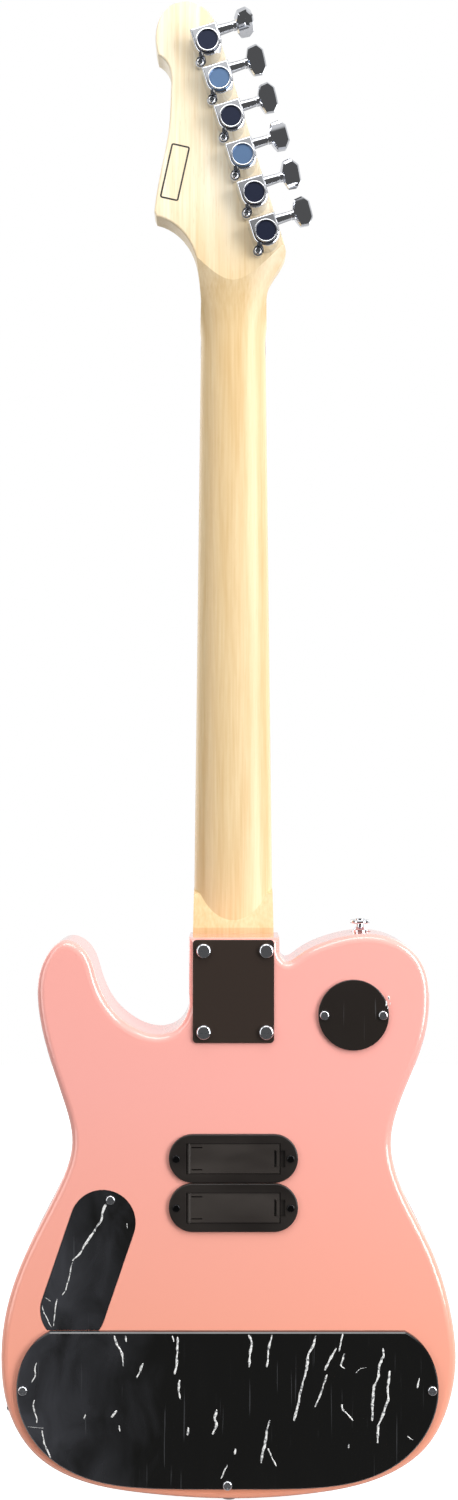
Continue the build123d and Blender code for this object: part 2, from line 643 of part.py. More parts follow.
def tuner_key(angle):
    """A key and the worm shaft fixed in it, turned to the angle it was left at."""
    start = HOUSING_RADIUS + SLEEVE_LENGTH + KEY_GAP
    half = KEY_WIDTH / 2
    outline = Polyline(
        (start + KEY_COLLAR, -3.4), (start + 4.2, -half * 0.92), (start + 9.8, -half),
        (start + KEY_LENGTH, -half * 0.55), (start + KEY_LENGTH, half * 0.55),
        (start + 9.8, half), (start + 4.2, half * 0.92), (start + KEY_COLLAR, 3.4), close=True)
    pad = extrude(make_face(outline), amount=KEY_THICKNESS / 2, both=True)
    pad = fillet(pad.edges().filter_by(Axis.Z), KEY_CORNER)
    for side in (-1, 1):
        crown_at = side * (KEY_THICKNESS / 2 - KEY_CROWN)
        pad &= Pos(start, 0, crown_at) * Rot(0, 90, 0) * Cylinder(KEY_CROWN, 4 * KEY_LENGTH)
    faces = pad.faces().filter_by(GeomType.CYLINDER).sort_by(SortBy.AREA)[-2:]
    pad = chamfer(faces[0].edges() + faces[1].edges(), KEY_CHAMFER)
    collar = Pos(start + KEY_COLLAR, 0, 0) * Rot(0, 90, 0) * Cylinder(3.1, 2 * KEY_COLLAR)
    key = pad + collar
    bore = Pos(start + 3, 0, 0) * Rot(0, 90, 0) * Cylinder(WORM_SHAFT_RADIUS, 8)
    key -= bore
    place = Pos(0, WORM_OFFSET, WORM_HEIGHT) * Rot(angle, 0, 0)
    worm_end = HOUSING_RADIUS - HOUSING_WALL - 0.6
    shaft = along_x(WORM_RADIUS, -worm_end, worm_end - 0.6)
    shaft += along_x(WORM_SHAFT_RADIUS, 0, start + 7)
    return [place * key, shaft]


def tuner_post():
    """A string post and the wheel pressed on its foot."""
    wheel_bottom = WORM_HEIGHT - WHEEL_THICKNESS / 2
    tip = -HEAD_THICKNESS - POST_PROUD
    post = Pos(0, 0, (wheel_bottom + tip) / 2) * Cylinder(POST_RADIUS, wheel_bottom - tip)
    post = chamfer(post.edges().sort_by(Axis.Z)[0], 0.6)
    waist_at = -HEAD_THICKNESS - WRAP_HEIGHT
    waist = Pos(0, 0, waist_at) * (Cylinder(POST_RADIUS + 1, 5) - Cylinder(POST_NECK_RADIUS, 6))
    post -= waist
    post -= Pos(0, 0, waist_at - 1) * Rot(90, 0, 0) * Cylinder(0.9, 4 * POST_RADIUS)
    post += Pos(0, 0, WORM_HEIGHT) * Cylinder(POST_NECK_RADIUS, WHEEL_THICKNESS)
    wheel = Pos(0, 0, WORM_HEIGHT) * (Cylinder(WHEEL_RADIUS, WHEEL_THICKNESS) - Cylinder(POST_NECK_RADIUS, 9))
    return [post, wheel]


def tuner_bushing():
    """The threaded bushing that clamps a tuner from the front."""
    face = -HEAD_THICKNESS
    sleeve = Pos(0, 0, face + 5) * Cylinder(BUSHING_RADIUS, 10)
    hexagon = RegularPolygon(BUSHING_HEX / 2, 6, major_radius=False)
    nut_face = face - WASHER_THICKNESS - BUSHING_HEX_HEIGHT
    nut = Pos(0, 0, nut_face) * extrude(hexagon, amount=BUSHING_HEX_HEIGHT)
    neck = Pos(0, 0, face - WASHER_THICKNESS / 2) * Cylinder(BUSHING_RADIUS, WASHER_THICKNESS)
    bore = Pos(0, 0, face) * Cylinder(POST_RADIUS + SHAFT_CLEARANCE, 40)
    return sleeve + nut + neck - bore


def tuner_washer():
    """The washer between a bushing's head and the headstock."""
    place = Pos(0, 0, -HEAD_THICKNESS - WASHER_THICKNESS / 2)
    return place * (Cylinder(WASHER_RADIUS, WASHER_THICKNESS) - Cylinder(BUSHING_RADIUS + SLIDE_GAP, 3))


def make_tuners():
    """Six tuners in line, low string nearest the nut."""
    frames = [tuner_plane(post) for post in POST_PLACES]
    for name, piece in (("tuner_housings", tuner_housing()), ("tuner_caps", tuner_cap()),
                        ("tuner_screws", tuner_screw()), ("tuner_bushings", tuner_bushing()),
                        ("tuner_washers", tuner_washer())):
        save(name, *[frame * piece for frame in frames])
    for n, frame in enumerate(frames):
        save(f"tuner_key_{n + 1}", *[frame * piece for piece in tuner_key(KEY_REST_ANGLES[n])])
        save(f"string_post_{n + 1}", *[frame * piece for piece in tuner_post()])


def string_at(n, z):
    """A string's X and Y at a height between the nut and its post."""
    a, b = string_points(n)[2:]
    share = (z - a[2]) / (b[2] - a[2])
    return a[0] + (b[0] - a[0]) * share, a[1] + (b[1] - a[1]) * share


def tree_places():
    """The string trees' screws, each midway between the two strings it holds down."""
    return [((string_at(low, z)[0] + string_at(low + 1, z)[0]) / 2, z) for low, z in STRING_TREES]


def make_string_trees():
    """Two round string trees, each a stemmed disc with its screw."""
    pieces = []
    for (x, z), (low, _) in zip(tree_places(), STRING_TREES):
        over = min(string_at(n, z)[1] - STRING_RADII[n] for n in (low, low + 1)) - STRING_GAP * 4
        disc = rod(x, z, TREE_RADIUS, over, over - 1.2) + rod(x, z, 2.0, HEAD_FACE, over)
        disc -= rod(x, z, TREE_SCREW_RADIUS, HEAD_FACE + 1, over - 2)
        head = rod(x, z, 2.4, over - 1.2, over - 2.6)
        head -= slab(Pos(x, z) * Rectangle(3.6, 0.6), over - 2.0, over - 3)
        pieces += [disc, head + rod(x, z, TREE_SCREW_RADIUS, HEAD_FACE + 7.5, over - 1.2)]
    save("string_trees", *pieces)


# ================================================================ body
def body_outline():
    """The body's outline from the saddle line: a bass shoulder and notch, a treble horn and cutaway."""
    points = BASS_SIDE + [BODY_END] + TREBLE_SIDE
    bass_corner, treble_corner = [(half, HEEL_EDGE) for half in HEEL_HALF_WIDTHS]
    foot = Polyline(points[-1], treble_corner, bass_corner, points[0])
    return outline_of(Spline(points), foot)


def main_cover_outline(inset=0.0):
    """The large cover's outline, flat along its top, or its cavity's when inset."""
    shrink = 1 - 2 * inset / MAIN_COVER_DEPTH
    side = [(x - inset, z * shrink) for x, z in MAIN_COVER_SIDE]
    top = COVER_EDGE_Z - inset
    right = [(MAIN_COVER_CENTRE + x, top + z) for x, z in side]
    left = [(MAIN_COVER_CENTRE - x, top + z) for x, z in side]
    end = (MAIN_COVER_CENTRE, COVER_EDGE_Z - MAIN_COVER_DEPTH + inset)
    return outline_of(Spline(right + [end] + left[::-1]), Line(left[0], right[0]))


def control_outline(radius, end_z):
    """The slanted control cover's outline, cut straight along the large cover's edge."""
    slot = slot_between(on_body(CONTROL_A), on_body(CONTROL_B), radius)
    keep = Pos(0, end_z + 150) * Rectangle(400, 300)
    return slot & keep


def jack_plane(depth=0.0):
    """The jack's own frame: z out of the body's side, square to it."""
    tilt = radians(JACK_TILT)
    out = (cos(tilt), 0, -sin(tilt))
    x, z = on_body(JACK_AT)
    origin = (x - out[0] * depth, BODY_MIDDLE, z - out[2] * depth)
    return Plane(origin=origin, x_dir=(0, 1, 0), z_dir=out)


def main_screw_places():
    """The three screws that show in the large cover: left, right and at the end pin."""
    side = max(x for x, z in MAIN_COVER_SIDE) - MAIN_SCREW_INSET
    z = MAIN_COVER_TOP - 37.0
    low = MAIN_COVER_TOP - MAIN_COVER_DEPTH + MAIN_SCREW_INSET - 1
    places = ((MAIN_COVER_CENTRE - side, z), (MAIN_COVER_CENTRE + side, z), (MAIN_COVER_CENTRE, low))
    return [on_body(place) for place in places]


def switch_screw_places():
    return [on_body((SWITCH_CENTRE[0] + s * SWITCH_SCREW_OFFSET, SWITCH_CENTRE[1])) for s in (-1, 1)]


def control_screw_place():
    return on_body(on_control_axis(-CONTROL_SCREW_OFFSET))


def box_screw_places(n):
    x, z = BOX_CENTRES[n]
    return [on_body((x + s * BOX_SCREW_OFFSET, z)) for s in (-1, 1)]


def box_shell_size():
    """The battery box's outside below its rim, in X and Z, and how deep it goes."""
    length = DOOR_LENGTH + 2 * BOX_WALL
    height = DOOR_HEIGHT + 2 * BOX_WALL
    depth = BATTERY_SIZE[2] + 2 * BOX_WALL
    return length, height, depth


def bridge_screw_places():
    reach = BRIDGE_WIDTH / 2 - 4.5
    heights = (BRIDGE_TOP - 5, BRIDGE_TOP - BRIDGE_LENGTH + 8)
    return [on_body((x, z)) for x in (-reach, reach) for z in heights]


def pickup_screw_places():
    return [on_body((s * PICKUP_SCREW_PITCH / 2, z))
            for z in (NECK_PICKUP_AT, BRIDGE_PICKUP_AT) for s in (-1, 1)]


def on_control_axis(reach):
    """A place on the control cover's long axis, measured down it from the upper centre."""
    turn = radians(CONTROL_TURN)
    return (CONTROL_A[0] + reach * cos(turn), CONTROL_A[1] + reach * sin(turn))


def pot_places():
    """The volume, tone and amplifier pots."""
    along = [on_control_axis(reach) for reach in POT_SHIFTS]
    return [on_body(place) for place in along + [(MAIN_COVER_CENTRE, SPEAKER_Z)]]


def speaker_places():
    return [on_body((MAIN_COVER_CENTRE + side * SPEAKER_OFFSET, SPEAKER_Z)) for side in (-1, 1)]


def guard_screw_places():
    return [(x, SADDLE_Z + HEEL_EDGE + z) for x, z in GUARD_SCREWS]


def ring_screw_places():
    half_x, half_z = RING_SCREW_PITCH[0] / 2, RING_SCREW_PITCH[1] / 2
    return [on_body((x, BRIDGE_PICKUP_AT + z)) for x in (-half_x, half_x) for z in (-half_z, half_z)]


def round_places(centre, radius, count, start):
    """Places evenly round a centre, the first at a start angle."""
    angles = [radians(start + 360 * n / count) for n in range(count)]
    return [(centre[0] + radius * cos(a), centre[1] + radius * sin(a)) for a in angles]


def grille_screw_places():
    return [p for c in speaker_places() for p in round_places(c, GRILLE_RADIUS - 3, 3, 90)]


def speaker_screw_places():
    return [p for c in speaker_places() for p in round_places(c, SPEAKER_RADIUS - 2.4, 4, 45)]


def stand_places():
    half_x, half_z = CIRCUIT_SIZE[0] / 2 - 4, CIRCUIT_SIZE[1] / 2 - 4
    return [on_body((MAIN_COVER_CENTRE + x, SPEAKER_Z + z))
            for x in (-half_x, half_x) for z in (-half_z, half_z)]


def control_cavity():
    """The pots' cavity, clear of the cover's screw and of the large cavity's wall."""
    start = on_body(on_control_axis(CONTROL_CAVITY_SHIFT))
    slot = slot_between(start, on_body(CONTROL_B), CONTROL_CAVITY_RADIUS)
    return slot & (Pos(0, COVER_EDGE_Z + COVER_LIP + 150) * Rectangle(400, 300))


def make_body():
    """The body: one slab, rounded all round and routed from both faces."""
    block = slab(body_outline(), BODY_BACK, BODY_FRONT)
    rims = block.edges().group_by(Axis.Y)
    block = Pos(0, 0, SADDLE_Z) * fillet(rims[0] + rims[-1], BODY_EDGE_ROUND)
    pocket = board_outline(margin=POCKET_GAP, z_top=HEEL_EDGE_Z + 20, z_end=NECK_END_Z - POCKET_GAP)
    block -= slab(pocket, HEEL_THICKNESS, BODY_FRONT - 1)
    block -= slab(main_cover_outline(inset=COVER_LIP), BODY_BACK + 1, CAVITY_FLOOR)
    block -= rod(*on_body(SWITCH_CENTRE), SWITCH_COVER_RADIUS - COVER_LIP, BODY_BACK + 1, CAVITY_FLOOR)
    rebate = control_outline(CONTROL_COVER_RADIUS + COVER_SEAM, COVER_EDGE_Z)
    block -= slab(rebate, BODY_BACK + 1, BODY_BACK - CONTROL_COVER_THICKNESS)
    block -= slab(control_cavity(), BODY_BACK + 1, CAVITY_FLOOR)
    length, height, depth = box_shell_size()
    for centre in BOX_CENTRES:
        well = Pos(*on_body(centre)) * Rectangle(length + 2 * SLIDE_GAP, height + 2 * SLIDE_GAP)
        block -= slab(well, BODY_BACK + 1, BODY_BACK - depth - SLIDE_GAP)
    for z in (NECK_PICKUP_AT, BRIDGE_PICKUP_AT):
        well = Pos(*on_body((0, z))) * SlotOverall(PICKUP_EAR + 1, PICKUP_WIDTH + 1)
        block -= slab(well, BODY_FRONT + PICKUP_DEPTH + 3, BODY_FRONT - 1)
    for place in pot_places():
        block -= rod(*place, POT_BUSH_RADIUS + SLIDE_GAP, CAVITY_FLOOR + 1, BODY_FRONT - 1)
    block -= rod(*on_body(SWITCH_CENTRE), SWITCH_BUSH_RADIUS + SLIDE_GAP, CAVITY_FLOOR + 1, BODY_FRONT - 1)
    for place in speaker_places():
        block -= rod(*place, SPEAKER_MOUTH, CAVITY_FLOOR + 1, BODY_FRONT - 1)
    seat = jack_plane(JACK_PLATE_THICKNESS - JACK_PLATE_PROUD)
    block -= extrude(seat * Circle(JACK_PLATE_RADIUS + SLIDE_GAP), amount=20)
    block -= extrude(seat * Circle(JACK_BODY + 1), amount=-JACK_BORE_LENGTH - 4)
    return block


def bore_body(block):
    """Drills every fixing's pilot hole and the wire channels, and saves the body."""
    for place in neck_screw_places():
        block -= rod(*place, NECK_SCREW_RADIUS + PILOT_GAP, BODY_BACK + 1, HEEL_THICKNESS - 1)
    for place in main_screw_places() + switch_screw_places() + [control_screw_place()]:
        block -= pilot(place, BODY_BACK, COVER_SCREW_RADIUS, COVER_SCREW_LENGTH)
    for place in box_screw_places(0) + box_screw_places(1):
        block -= pilot(place, BODY_BACK, BOX_SCREW_RADIUS, BOX_SCREW_LENGTH)
    for place in bridge_screw_places():
        block -= pilot(place, BODY_FRONT, BRIDGE_SCREW_RADIUS, BRIDGE_SCREW_LENGTH, outward=-1)
    for place in guard_screw_places() + ring_screw_places() + grille_screw_places():
        block -= pilot(place, BODY_FRONT, SMALL_SCREW_RADIUS, SMALL_SCREW_LENGTH - 2, outward=-1)
    for place in speaker_screw_places() + stand_places():
        block -= pilot(place, CAVITY_FLOOR, SMALL_SCREW_RADIUS, 4)
    for place in pickup_screw_places():
        block -= pilot(place, PICKUP_EAR_Y, SMALL_SCREW_RADIUS, PICKUP_SCREW_LENGTH, outward=-1)
    for frame in strap_planes():
        block -= extrude(frame * Circle(STRAP_BASE + 2), amount=10)
        block -= extrude(frame * Circle(STRAP_SCREW_RADIUS + PILOT_GAP), amount=-STRAP_SCREW_LENGTH)
    for start, end in wire_channels():
        block -= bar_between(start, end, CHANNEL_RADIUS)
    for place in jack_screw_planes():
        block -= extrude(place * Circle(SMALL_SCREW_RADIUS + PILOT_GAP), amount=-SMALL_SCREW_LENGTH - 2)
    save("body", block)


def strap_planes():
    """The two strap buttons' seats, z pointing out of the body's edge."""
    x, z = on_body(BASS_SIDE[4])
    end_x, end_z = on_body(BODY_END)
    return [Plane(origin=(x, BODY_MIDDLE, z - STRAP_SEAT), x_dir=(1, 0, 0), z_dir=(0, 0, 1)),
            Plane(origin=(end_x, BODY_MIDDLE, end_z + STRAP_SEAT), x_dir=(1, 0, 0), z_dir=(0, 0, -1))]


def jack_screw_planes():
    """The jack plate's two screws, one to each face's side of the jack."""
    top = jack_plane(-JACK_PLATE_PROUD)
    return [top * Pos(side * (JACK_PLATE_RADIUS - 3.2), 0, 0) for side in (-1, 1)]


def wire_channels():
    """Straight channels drilled between the cavities at mid depth."""
    y = BODY_MIDDLE + 2
    half = box_shell_size()[0] / 2
    switch, control = on_body(SWITCH_CENTRE), on_body(on_control_axis(CONTROL_CAVITY_SHIFT))
    upper, lower = [on_body(centre) for centre in BOX_CENTRES]
    tone = pot_places()[1]
    return [
        ((control[0], y, control[1]), (lower[0] + half - 4, y, lower[1])),
        ((tone[0], y, tone[1] - 5), (tone[0] + 2, y, COVER_EDGE_Z - COVER_LIP - 4)),
        ((switch[0] + 6, y, switch[1] - 8), (upper[0] - half + 6, y, upper[1])),
    ]


# ================================================================ plates, covers and their screws
def make_covers():
    """The neck plate and the three black covers on the back, with their screws."""
    plate = slab(Pos(0, PLATE_CENTRE_Z) * RectangleRounded(*PLATE_SIZE, PLATE_CORNER),
                 BODY_BACK + PLATE_THICKNESS, BODY_BACK)
    plate = chamfer(plate.faces().sort_by(Axis.Y)[-1].edges(), 0.5)
    for place in neck_screw_places():
        plate -= rod(*place, NECK_SCREW_RADIUS + PILOT_GAP, BODY_BACK + 3, BODY_BACK - 1)
    save("neck_plate", plate)
    seat = BODY_BACK + PLATE_THICKNESS
    length = seat - HEEL_THICKNESS + NECK_SCREW_BITE
    save("neck_screws", *[screw(place, seat, NECK_SCREW_RADIUS, NECK_SCREW_HEAD, length, 2.4)
                          for place in neck_screw_places()])
    top = BODY_BACK + SWITCH_COVER_THICKNESS
    round_cover = rod(*on_body(SWITCH_CENTRE), SWITCH_COVER_RADIUS, top, BODY_BACK)
    round_cover = fillet(round_cover.faces().sort_by(Axis.Y)[-1].edges(), 0.5)
    for place in switch_screw_places():
        round_cover -= rod(*place, COVER_SCREW_RADIUS + PILOT_GAP, BODY_BACK + 5, BODY_BACK - 1)
    save("switch_cover", round_cover)
    sheet = control_outline(CONTROL_COVER_RADIUS, COVER_EDGE_Z + COVER_SEAM)
    oblong = slab(sheet, BODY_BACK, BODY_BACK - CONTROL_COVER_THICKNESS)
    oblong -= rod(*control_screw_place(), COVER_SCREW_RADIUS + PILOT_GAP, BODY_BACK + 1, BODY_BACK - 4)
    save("control_cover", oblong)
    main = slab(main_cover_outline(), BODY_BACK + MAIN_COVER_THICKNESS, BODY_BACK)
    main = chamfer(main.faces().sort_by(Axis.Y)[-1].edges(), MAIN_COVER_BEVEL)
    for place in main_screw_places():
        main -= rod(*place, COVER_SCREW_RADIUS + PILOT_GAP, BODY_BACK + 5, BODY_BACK - 1)
    save("electronics_cover", main)
    screws = [screw(place, BODY_BACK + MAIN_COVER_THICKNESS, COVER_SCREW_RADIUS, COVER_SCREW_HEAD,
                    COVER_SCREW_LENGTH, 1.6) for place in main_screw_places()]
    screws += [screw(place, BODY_BACK + SWITCH_COVER_THICKNESS, COVER_SCREW_RADIUS, COVER_SCREW_HEAD,
                     COVER_SCREW_LENGTH, 1.6) for place in switch_screw_places()]
    screws.append(screw(control_screw_place(), BODY_BACK, COVER_SCREW_RADIUS, COVER_SCREW_HEAD,
                        COVER_SCREW_LENGTH, 1.6))
    save("cover_screws", *screws)


# ================================================================ battery boxes
def hinge_line():
    """The door hinge's X and Y, near the opening's treble end."""
    return DOOR_LENGTH / 2 - HINGE_RADIUS - DOOR_GAP, BODY_BACK + BOX_RIM_THICKNESS - HINGE_RADIUS - 0.1


def battery_box(centre):
    """One box: a rounded rim on the back and a well behind it, with a finger notch and hinge sockets."""
    x, z = on_body(centre)
    length, height, depth = box_shell_size()
    top = BODY_BACK + BOX_RIM_THICKNESS
    floor = BODY_BACK - depth
    rim = slab(Pos(x, z) * SlotOverall(BOX_RIM_LENGTH, BOX_RIM_HEIGHT), top, BODY_BACK)
    rim = fillet(rim.faces().sort_by(Axis.Y)[-1].edges(), BOX_RIM_ROUND)
    box = rim + slab(Pos(x, z) * Rectangle(length, height), BODY_BACK, floor)
    box -= slab(Pos(x, z) * Rectangle(DOOR_LENGTH, DOOR_HEIGHT), top + 1, floor + BOX_WALL)
    notch = Pos(x - DOOR_LENGTH / 2 - 1.4, z) * Rectangle(3.4, DOOR_HEIGHT * 0.55)
    box -= slab(notch, top + 1, top - 1.4)
    hinge_x, hinge_y = hinge_line()
    reach = DOOR_HEIGHT / 2 + HINGE_PIN_LENGTH + 0.3
    box -= bar_between((x + hinge_x, hinge_y, z - reach), (x + hinge_x, hinge_y, z + reach),
                       HINGE_PIN_RADIUS + SHAFT_CLEARANCE)
    for s in (-1, 1):
        box -= rod(x + s * BOX_SCREW_OFFSET, z, BOX_SCREW_RADIUS + PILOT_GAP, top + 1, BODY_BACK - 1)
    return box


def battery_door(centre):
    """A door on two hinge pins, with a nail slot and a latch rib at its free end."""
    x, z = on_body(centre)
    hinge_x, hinge_y = hinge_line()
    top = BODY_BACK + BOX_RIM_THICKNESS - DOOR_RECESS
    half = DOOR_HEIGHT / 2 - DOOR_GAP
    free_end = -DOOR_LENGTH / 2 + DOOR_GAP
    middle = (free_end + hinge_x) / 2
    door = slab(Pos(x + middle, z) * Rectangle(hinge_x - free_end, 2 * half), top, top - DOOR_THICKNESS)
    door += bar_between((x + hinge_x, hinge_y, z - half), (x + hinge_x, hinge_y, z + half), HINGE_RADIUS)
    pin = half + HINGE_PIN_LENGTH
    door += bar_between((x + hinge_x, hinge_y, z - pin), (x + hinge_x, hinge_y, z + pin), HINGE_PIN_RADIUS)
    for s in (-1, 1):
        relief = Pos(x + hinge_x - 5, z + s * DOOR_HEIGHT * 0.36) * Rectangle(7, 0.8)
        door -= slab(relief, top + 1, top - DOOR_THICKNESS - 1)
    spring_slit = Pos(x + free_end + 3.0, z) * Rectangle(1.0, DOOR_HEIGHT * 0.55)
    door -= slab(spring_slit, top + 1, top - DOOR_THICKNESS - 1)
    door += slab(Pos(x + free_end + 1.2, z) * Rectangle(1.4, DOOR_HEIGHT * 0.5), top + 0.7, top)
    return door


def battery(centre):
    """A nine-volt block with its two snaps, lying in its box."""
    x, z = on_body(centre)
    floor = BODY_BACK - box_shell_size()[2] + BOX_WALL
    middle = x - DOOR_LENGTH / 2 + BATTERY_SIZE[0] / 2 + 0.6
    cell = slab(Pos(middle, z) * RectangleRounded(BATTERY_SIZE[0], BATTERY_SIZE[1], BATTERY_CORNER),
                floor + BATTERY_SIZE[2] - 0.2, floor + 0.1)
    return cell


def terminal(centre):
    """The snap board at a box's treble end, with its two round contacts."""
    x, z = on_body(centre)
    floor = BODY_BACK - box_shell_size()[2] + BOX_WALL
    face = x - DOOR_LENGTH / 2 + BATTERY_SIZE[0] + 0.7
    middle_y = floor + BATTERY_SIZE[2] / 2
    board = slab(Pos(face + SNAP_HEIGHT + TERMINAL_THICKNESS / 2, z) * Rectangle(TERMINAL_THICKNESS, 16),
                 floor + BATTERY_SIZE[2] - 2.5, floor + 0.1)
    snaps = []
    for s in (-1, 1):
        y = middle_y - 1 + s * SNAP_PITCH / 2
        snaps.append(bar_between((face, y, z), (face + SNAP_HEIGHT, y, z), SNAP_RADIUS))
    return [board] + snaps


def make_battery_boxes():
    """Two boxes side by side, their doors, batteries, snap boards and screws."""
    save("battery_boxes", *[battery_box(c) for c in BOX_CENTRES])
    for name, centre in zip(("battery_door_upper", "battery_door_lower"), BOX_CENTRES):
        save(name, battery_door(centre))
    save("batteries", *[battery(c) for c in BOX_CENTRES])
    save("battery_terminals", *[piece for c in BOX_CENTRES for piece in terminal(c)])
    seat = BODY_BACK + BOX_RIM_THICKNESS
    save("battery_box_screws", *[screw(place, seat, BOX_SCREW_RADIUS, BOX_SCREW_HEAD, BOX_SCREW_LENGTH, 0.9)
                                 for n in range(2) for place in box_screw_places(n)])


# ================================================================ pickguard, pickups and bridge
GUARD_POINTS = [
    (-22.0, -1.0), (-46.0, -12.0), (-84.0, -8.0), (-104.0, -34.0), (-98.0, -66.0), (-84.0, -100.0),
    (-70.0, -124.0),
]
GUARD_TREBLE = [(52.0, -128.0), (66.0, -118.0), (61.0, -98.0), (48.0, -82.0)]


def guard_outline():
    """The pickguard round the end of the neck and the neck pickup."""
    top = SADDLE_Z + HEEL_EDGE
    half = HEEL_WIDTH / 2 + GUARD_GAP + 0.5
    neck_end = NECK_END_Z - GUARD_GAP
    bass = [(-half, top - 22)] + [(x, top + z) for x, z in GUARD_POINTS[1:]]
    treble = [(x, top + z) for x, z in GUARD_TREBLE] + [(half, top - 76.0)]
    side_b, side_t = Spline(bass), Spline(treble)
    base = Spline([bass[-1], (-48.0, top - 136.0), (-12.0, top - 138.0), (30.0, top - 136.5), treble[0]])
    inner = Polyline(treble[-1], (half, neck_end), (-half, neck_end), bass[0])
    return outline_of(side_b, base, side_t, inner)


GUARD_SCREWS = [(-40.0, -19.0), (-94.0, -30.0), (-90.0, -74.0), (-66.0, -119.0), (-12.0, -131.0),
                (46.0, -122.0),
                (56.0, -104.0), (-36.0, -66.0)]


def make_guard():
    """The pickguard and the bridge pickup's ring."""
    back, front = BODY_FRONT, BODY_FRONT - GUARD_THICKNESS
    guard = slab(guard_outline(), back, front)
    guard = chamfer(guard.faces().sort_by(Axis.Y)[0].edges(), 0.6)
    opening = SlotOverall(PICKUP_LENGTH + 2 * GUARD_GAP, PICKUP_WIDTH + 2 * GUARD_GAP)
    guard -= slab(Pos(*on_body((0, NECK_PICKUP_AT))) * opening, back + 1, front - 1)
    guard -= rod(*on_body(SWITCH_CENTRE), SWITCH_BUSH_RADIUS + SLIDE_GAP, back + 1, front - 1)
    for place in guard_screw_places():
        guard -= rod(*place, SMALL_SCREW_RADIUS + PILOT_GAP, back + 1, front - 1)
    save("pickguard", guard)
    centre = on_body((0, BRIDGE_PICKUP_AT))
    ring = slab(Pos(*centre) * RectangleRounded(*RING_SIZE, 4), back, back - RING_THICKNESS)
    ring = chamfer(ring.faces().sort_by(Axis.Y)[0].edges(), 0.6)
    ring -= slab(Pos(*centre) * opening, back + 1, back - RING_THICKNESS - 1)
    for place in ring_screw_places():
        ring -= rod(*place, SMALL_SCREW_RADIUS + PILOT_GAP, back + 1, back - RING_THICKNESS - 1)
    save("pickup_ring", ring)


def make_pickups():
    """Two single-coil pickups: moulded covers with ears, and six poles in each."""
    top = BODY_FRONT - PICKUP_HEIGHT
    bottom = BODY_FRONT + PICKUP_DEPTH
    covers, poles = [], []
    for along in (NECK_PICKUP_AT, BRIDGE_PICKUP_AT):
        centre = on_body((0, along))
        cover = slab(Pos(*centre) * SlotOverall(PICKUP_LENGTH, PICKUP_WIDTH), bottom, top)
        cover = fillet(cover.faces().sort_by(Axis.Y)[0].edges(), 1.2)
        cover += slab(Pos(*centre) * SlotOverall(PICKUP_EAR, PICKUP_WIDTH / 2), bottom, PICKUP_EAR_Y)
        for n in range(6):
            x = string_x(n, SADDLE_STRING_PITCH)
            cover -= rod(x, centre[1], POLE_RADIUS, bottom - 2, top - 1)
            poles.append(rod(x, centre[1], POLE_RADIUS, bottom - 2, top - POLE_PROUD))
        for side in (-1, 1):
            hole_x = side * PICKUP_SCREW_PITCH / 2
            cover -= rod(hole_x, centre[1], SMALL_SCREW_RADIUS + PILOT_GAP, bottom + 1, 0)
        covers.append(cover)
    save("pickup_covers", *covers)
    save("pickup_poles", *poles)


def make_bridge():
    """The bridge: a lipped plate, six barrel saddles on height screws, and their length screws."""
    plate_top = BODY_FRONT - BRIDGE_PLATE
    middle = SADDLE_Z + BRIDGE_TOP - BRIDGE_LENGTH / 2
    plate = slab(Pos(0, middle) * RectangleRounded(BRIDGE_WIDTH, BRIDGE_LENGTH, 3), BODY_FRONT, plate_top)
    lip = slab(Pos(0, BRIDGE_END_Z + BRIDGE_PLATE / 2) * Rectangle(BRIDGE_WIDTH - 6, BRIDGE_PLATE),
               plate_top, BODY_FRONT - BRIDGE_LIP)
    plate += lip
    screw_y = SADDLE_TOP + SADDLE_RADIUS
    saddles, screws = [], []
    for n in range(6):
        x = string_x(n, SADDLE_STRING_PITCH) + SADDLE_SHIFT
        length = bar_between((x, screw_y, BRIDGE_END_Z - 0.6), (x, screw_y, SADDLE_Z + SADDLE_RADIUS),
                             SADDLE_SCREW_RADIUS)
        hole = bar_between((x, screw_y, BRIDGE_END_Z - 1), (x, screw_y, SADDLE_Z + SADDLE_RADIUS + 1),
                           SADDLE_SCREW_RADIUS + PILOT_GAP)
        head = bar_between((x, screw_y, BRIDGE_END_Z - 2.2), (x, screw_y, BRIDGE_END_Z), SADDLE_SCREW_HEAD)
        head -= Pos(x, screw_y, BRIDGE_END_Z - 2) * Box(2.6, 0.5, 1.4) + Pos(x, screw_y, BRIDGE_END_Z - 2) * Box(
            0.5, 2.6, 1.4)
        barrel = bar_between((x - SADDLE_WIDTH / 2, screw_y, SADDLE_Z), (x + SADDLE_WIDTH / 2, screw_y, SADDLE_Z),
                             SADDLE_RADIUS)
        barrel = chamfer(barrel.edges().filter_by(GeomType.CIRCLE), 0.4) - hole
        barrel -= string_path(n, STRING_RADII[n] + STRING_GAP)
        for side in (-1, 1):
            foot = x + side * HEIGHT_SCREW_OFFSET
            barrel -= rod(foot, SADDLE_Z, HEIGHT_SCREW_RADIUS + PILOT_GAP, plate_top, SADDLE_TOP - 1)
            screws.append(rod(foot, SADDLE_Z, HEIGHT_SCREW_RADIUS, plate_top, SADDLE_TOP + 1))
        plate = plate - hole - string_path(n, STRING_RADII[n] + STRING_GAP)
        saddles.append(barrel)
        screws.append(length + head)
    for place in bridge_screw_places():
        plate -= rod(*place, BRIDGE_SCREW_RADIUS + PILOT_GAP, BODY_FRONT + 1, plate_top - 1)
    save("bridge_plate", plate)
    save("saddles", *saddles)
    save("saddle_screws", *screws)
    save("bridge_screws", *[screw(place, plate_top, BRIDGE_SCREW_RADIUS, BRIDGE_SCREW_HEAD, BRIDGE_SCREW_LENGTH,
                                  1.8, outward=-1) for place in bridge_screw_places()])


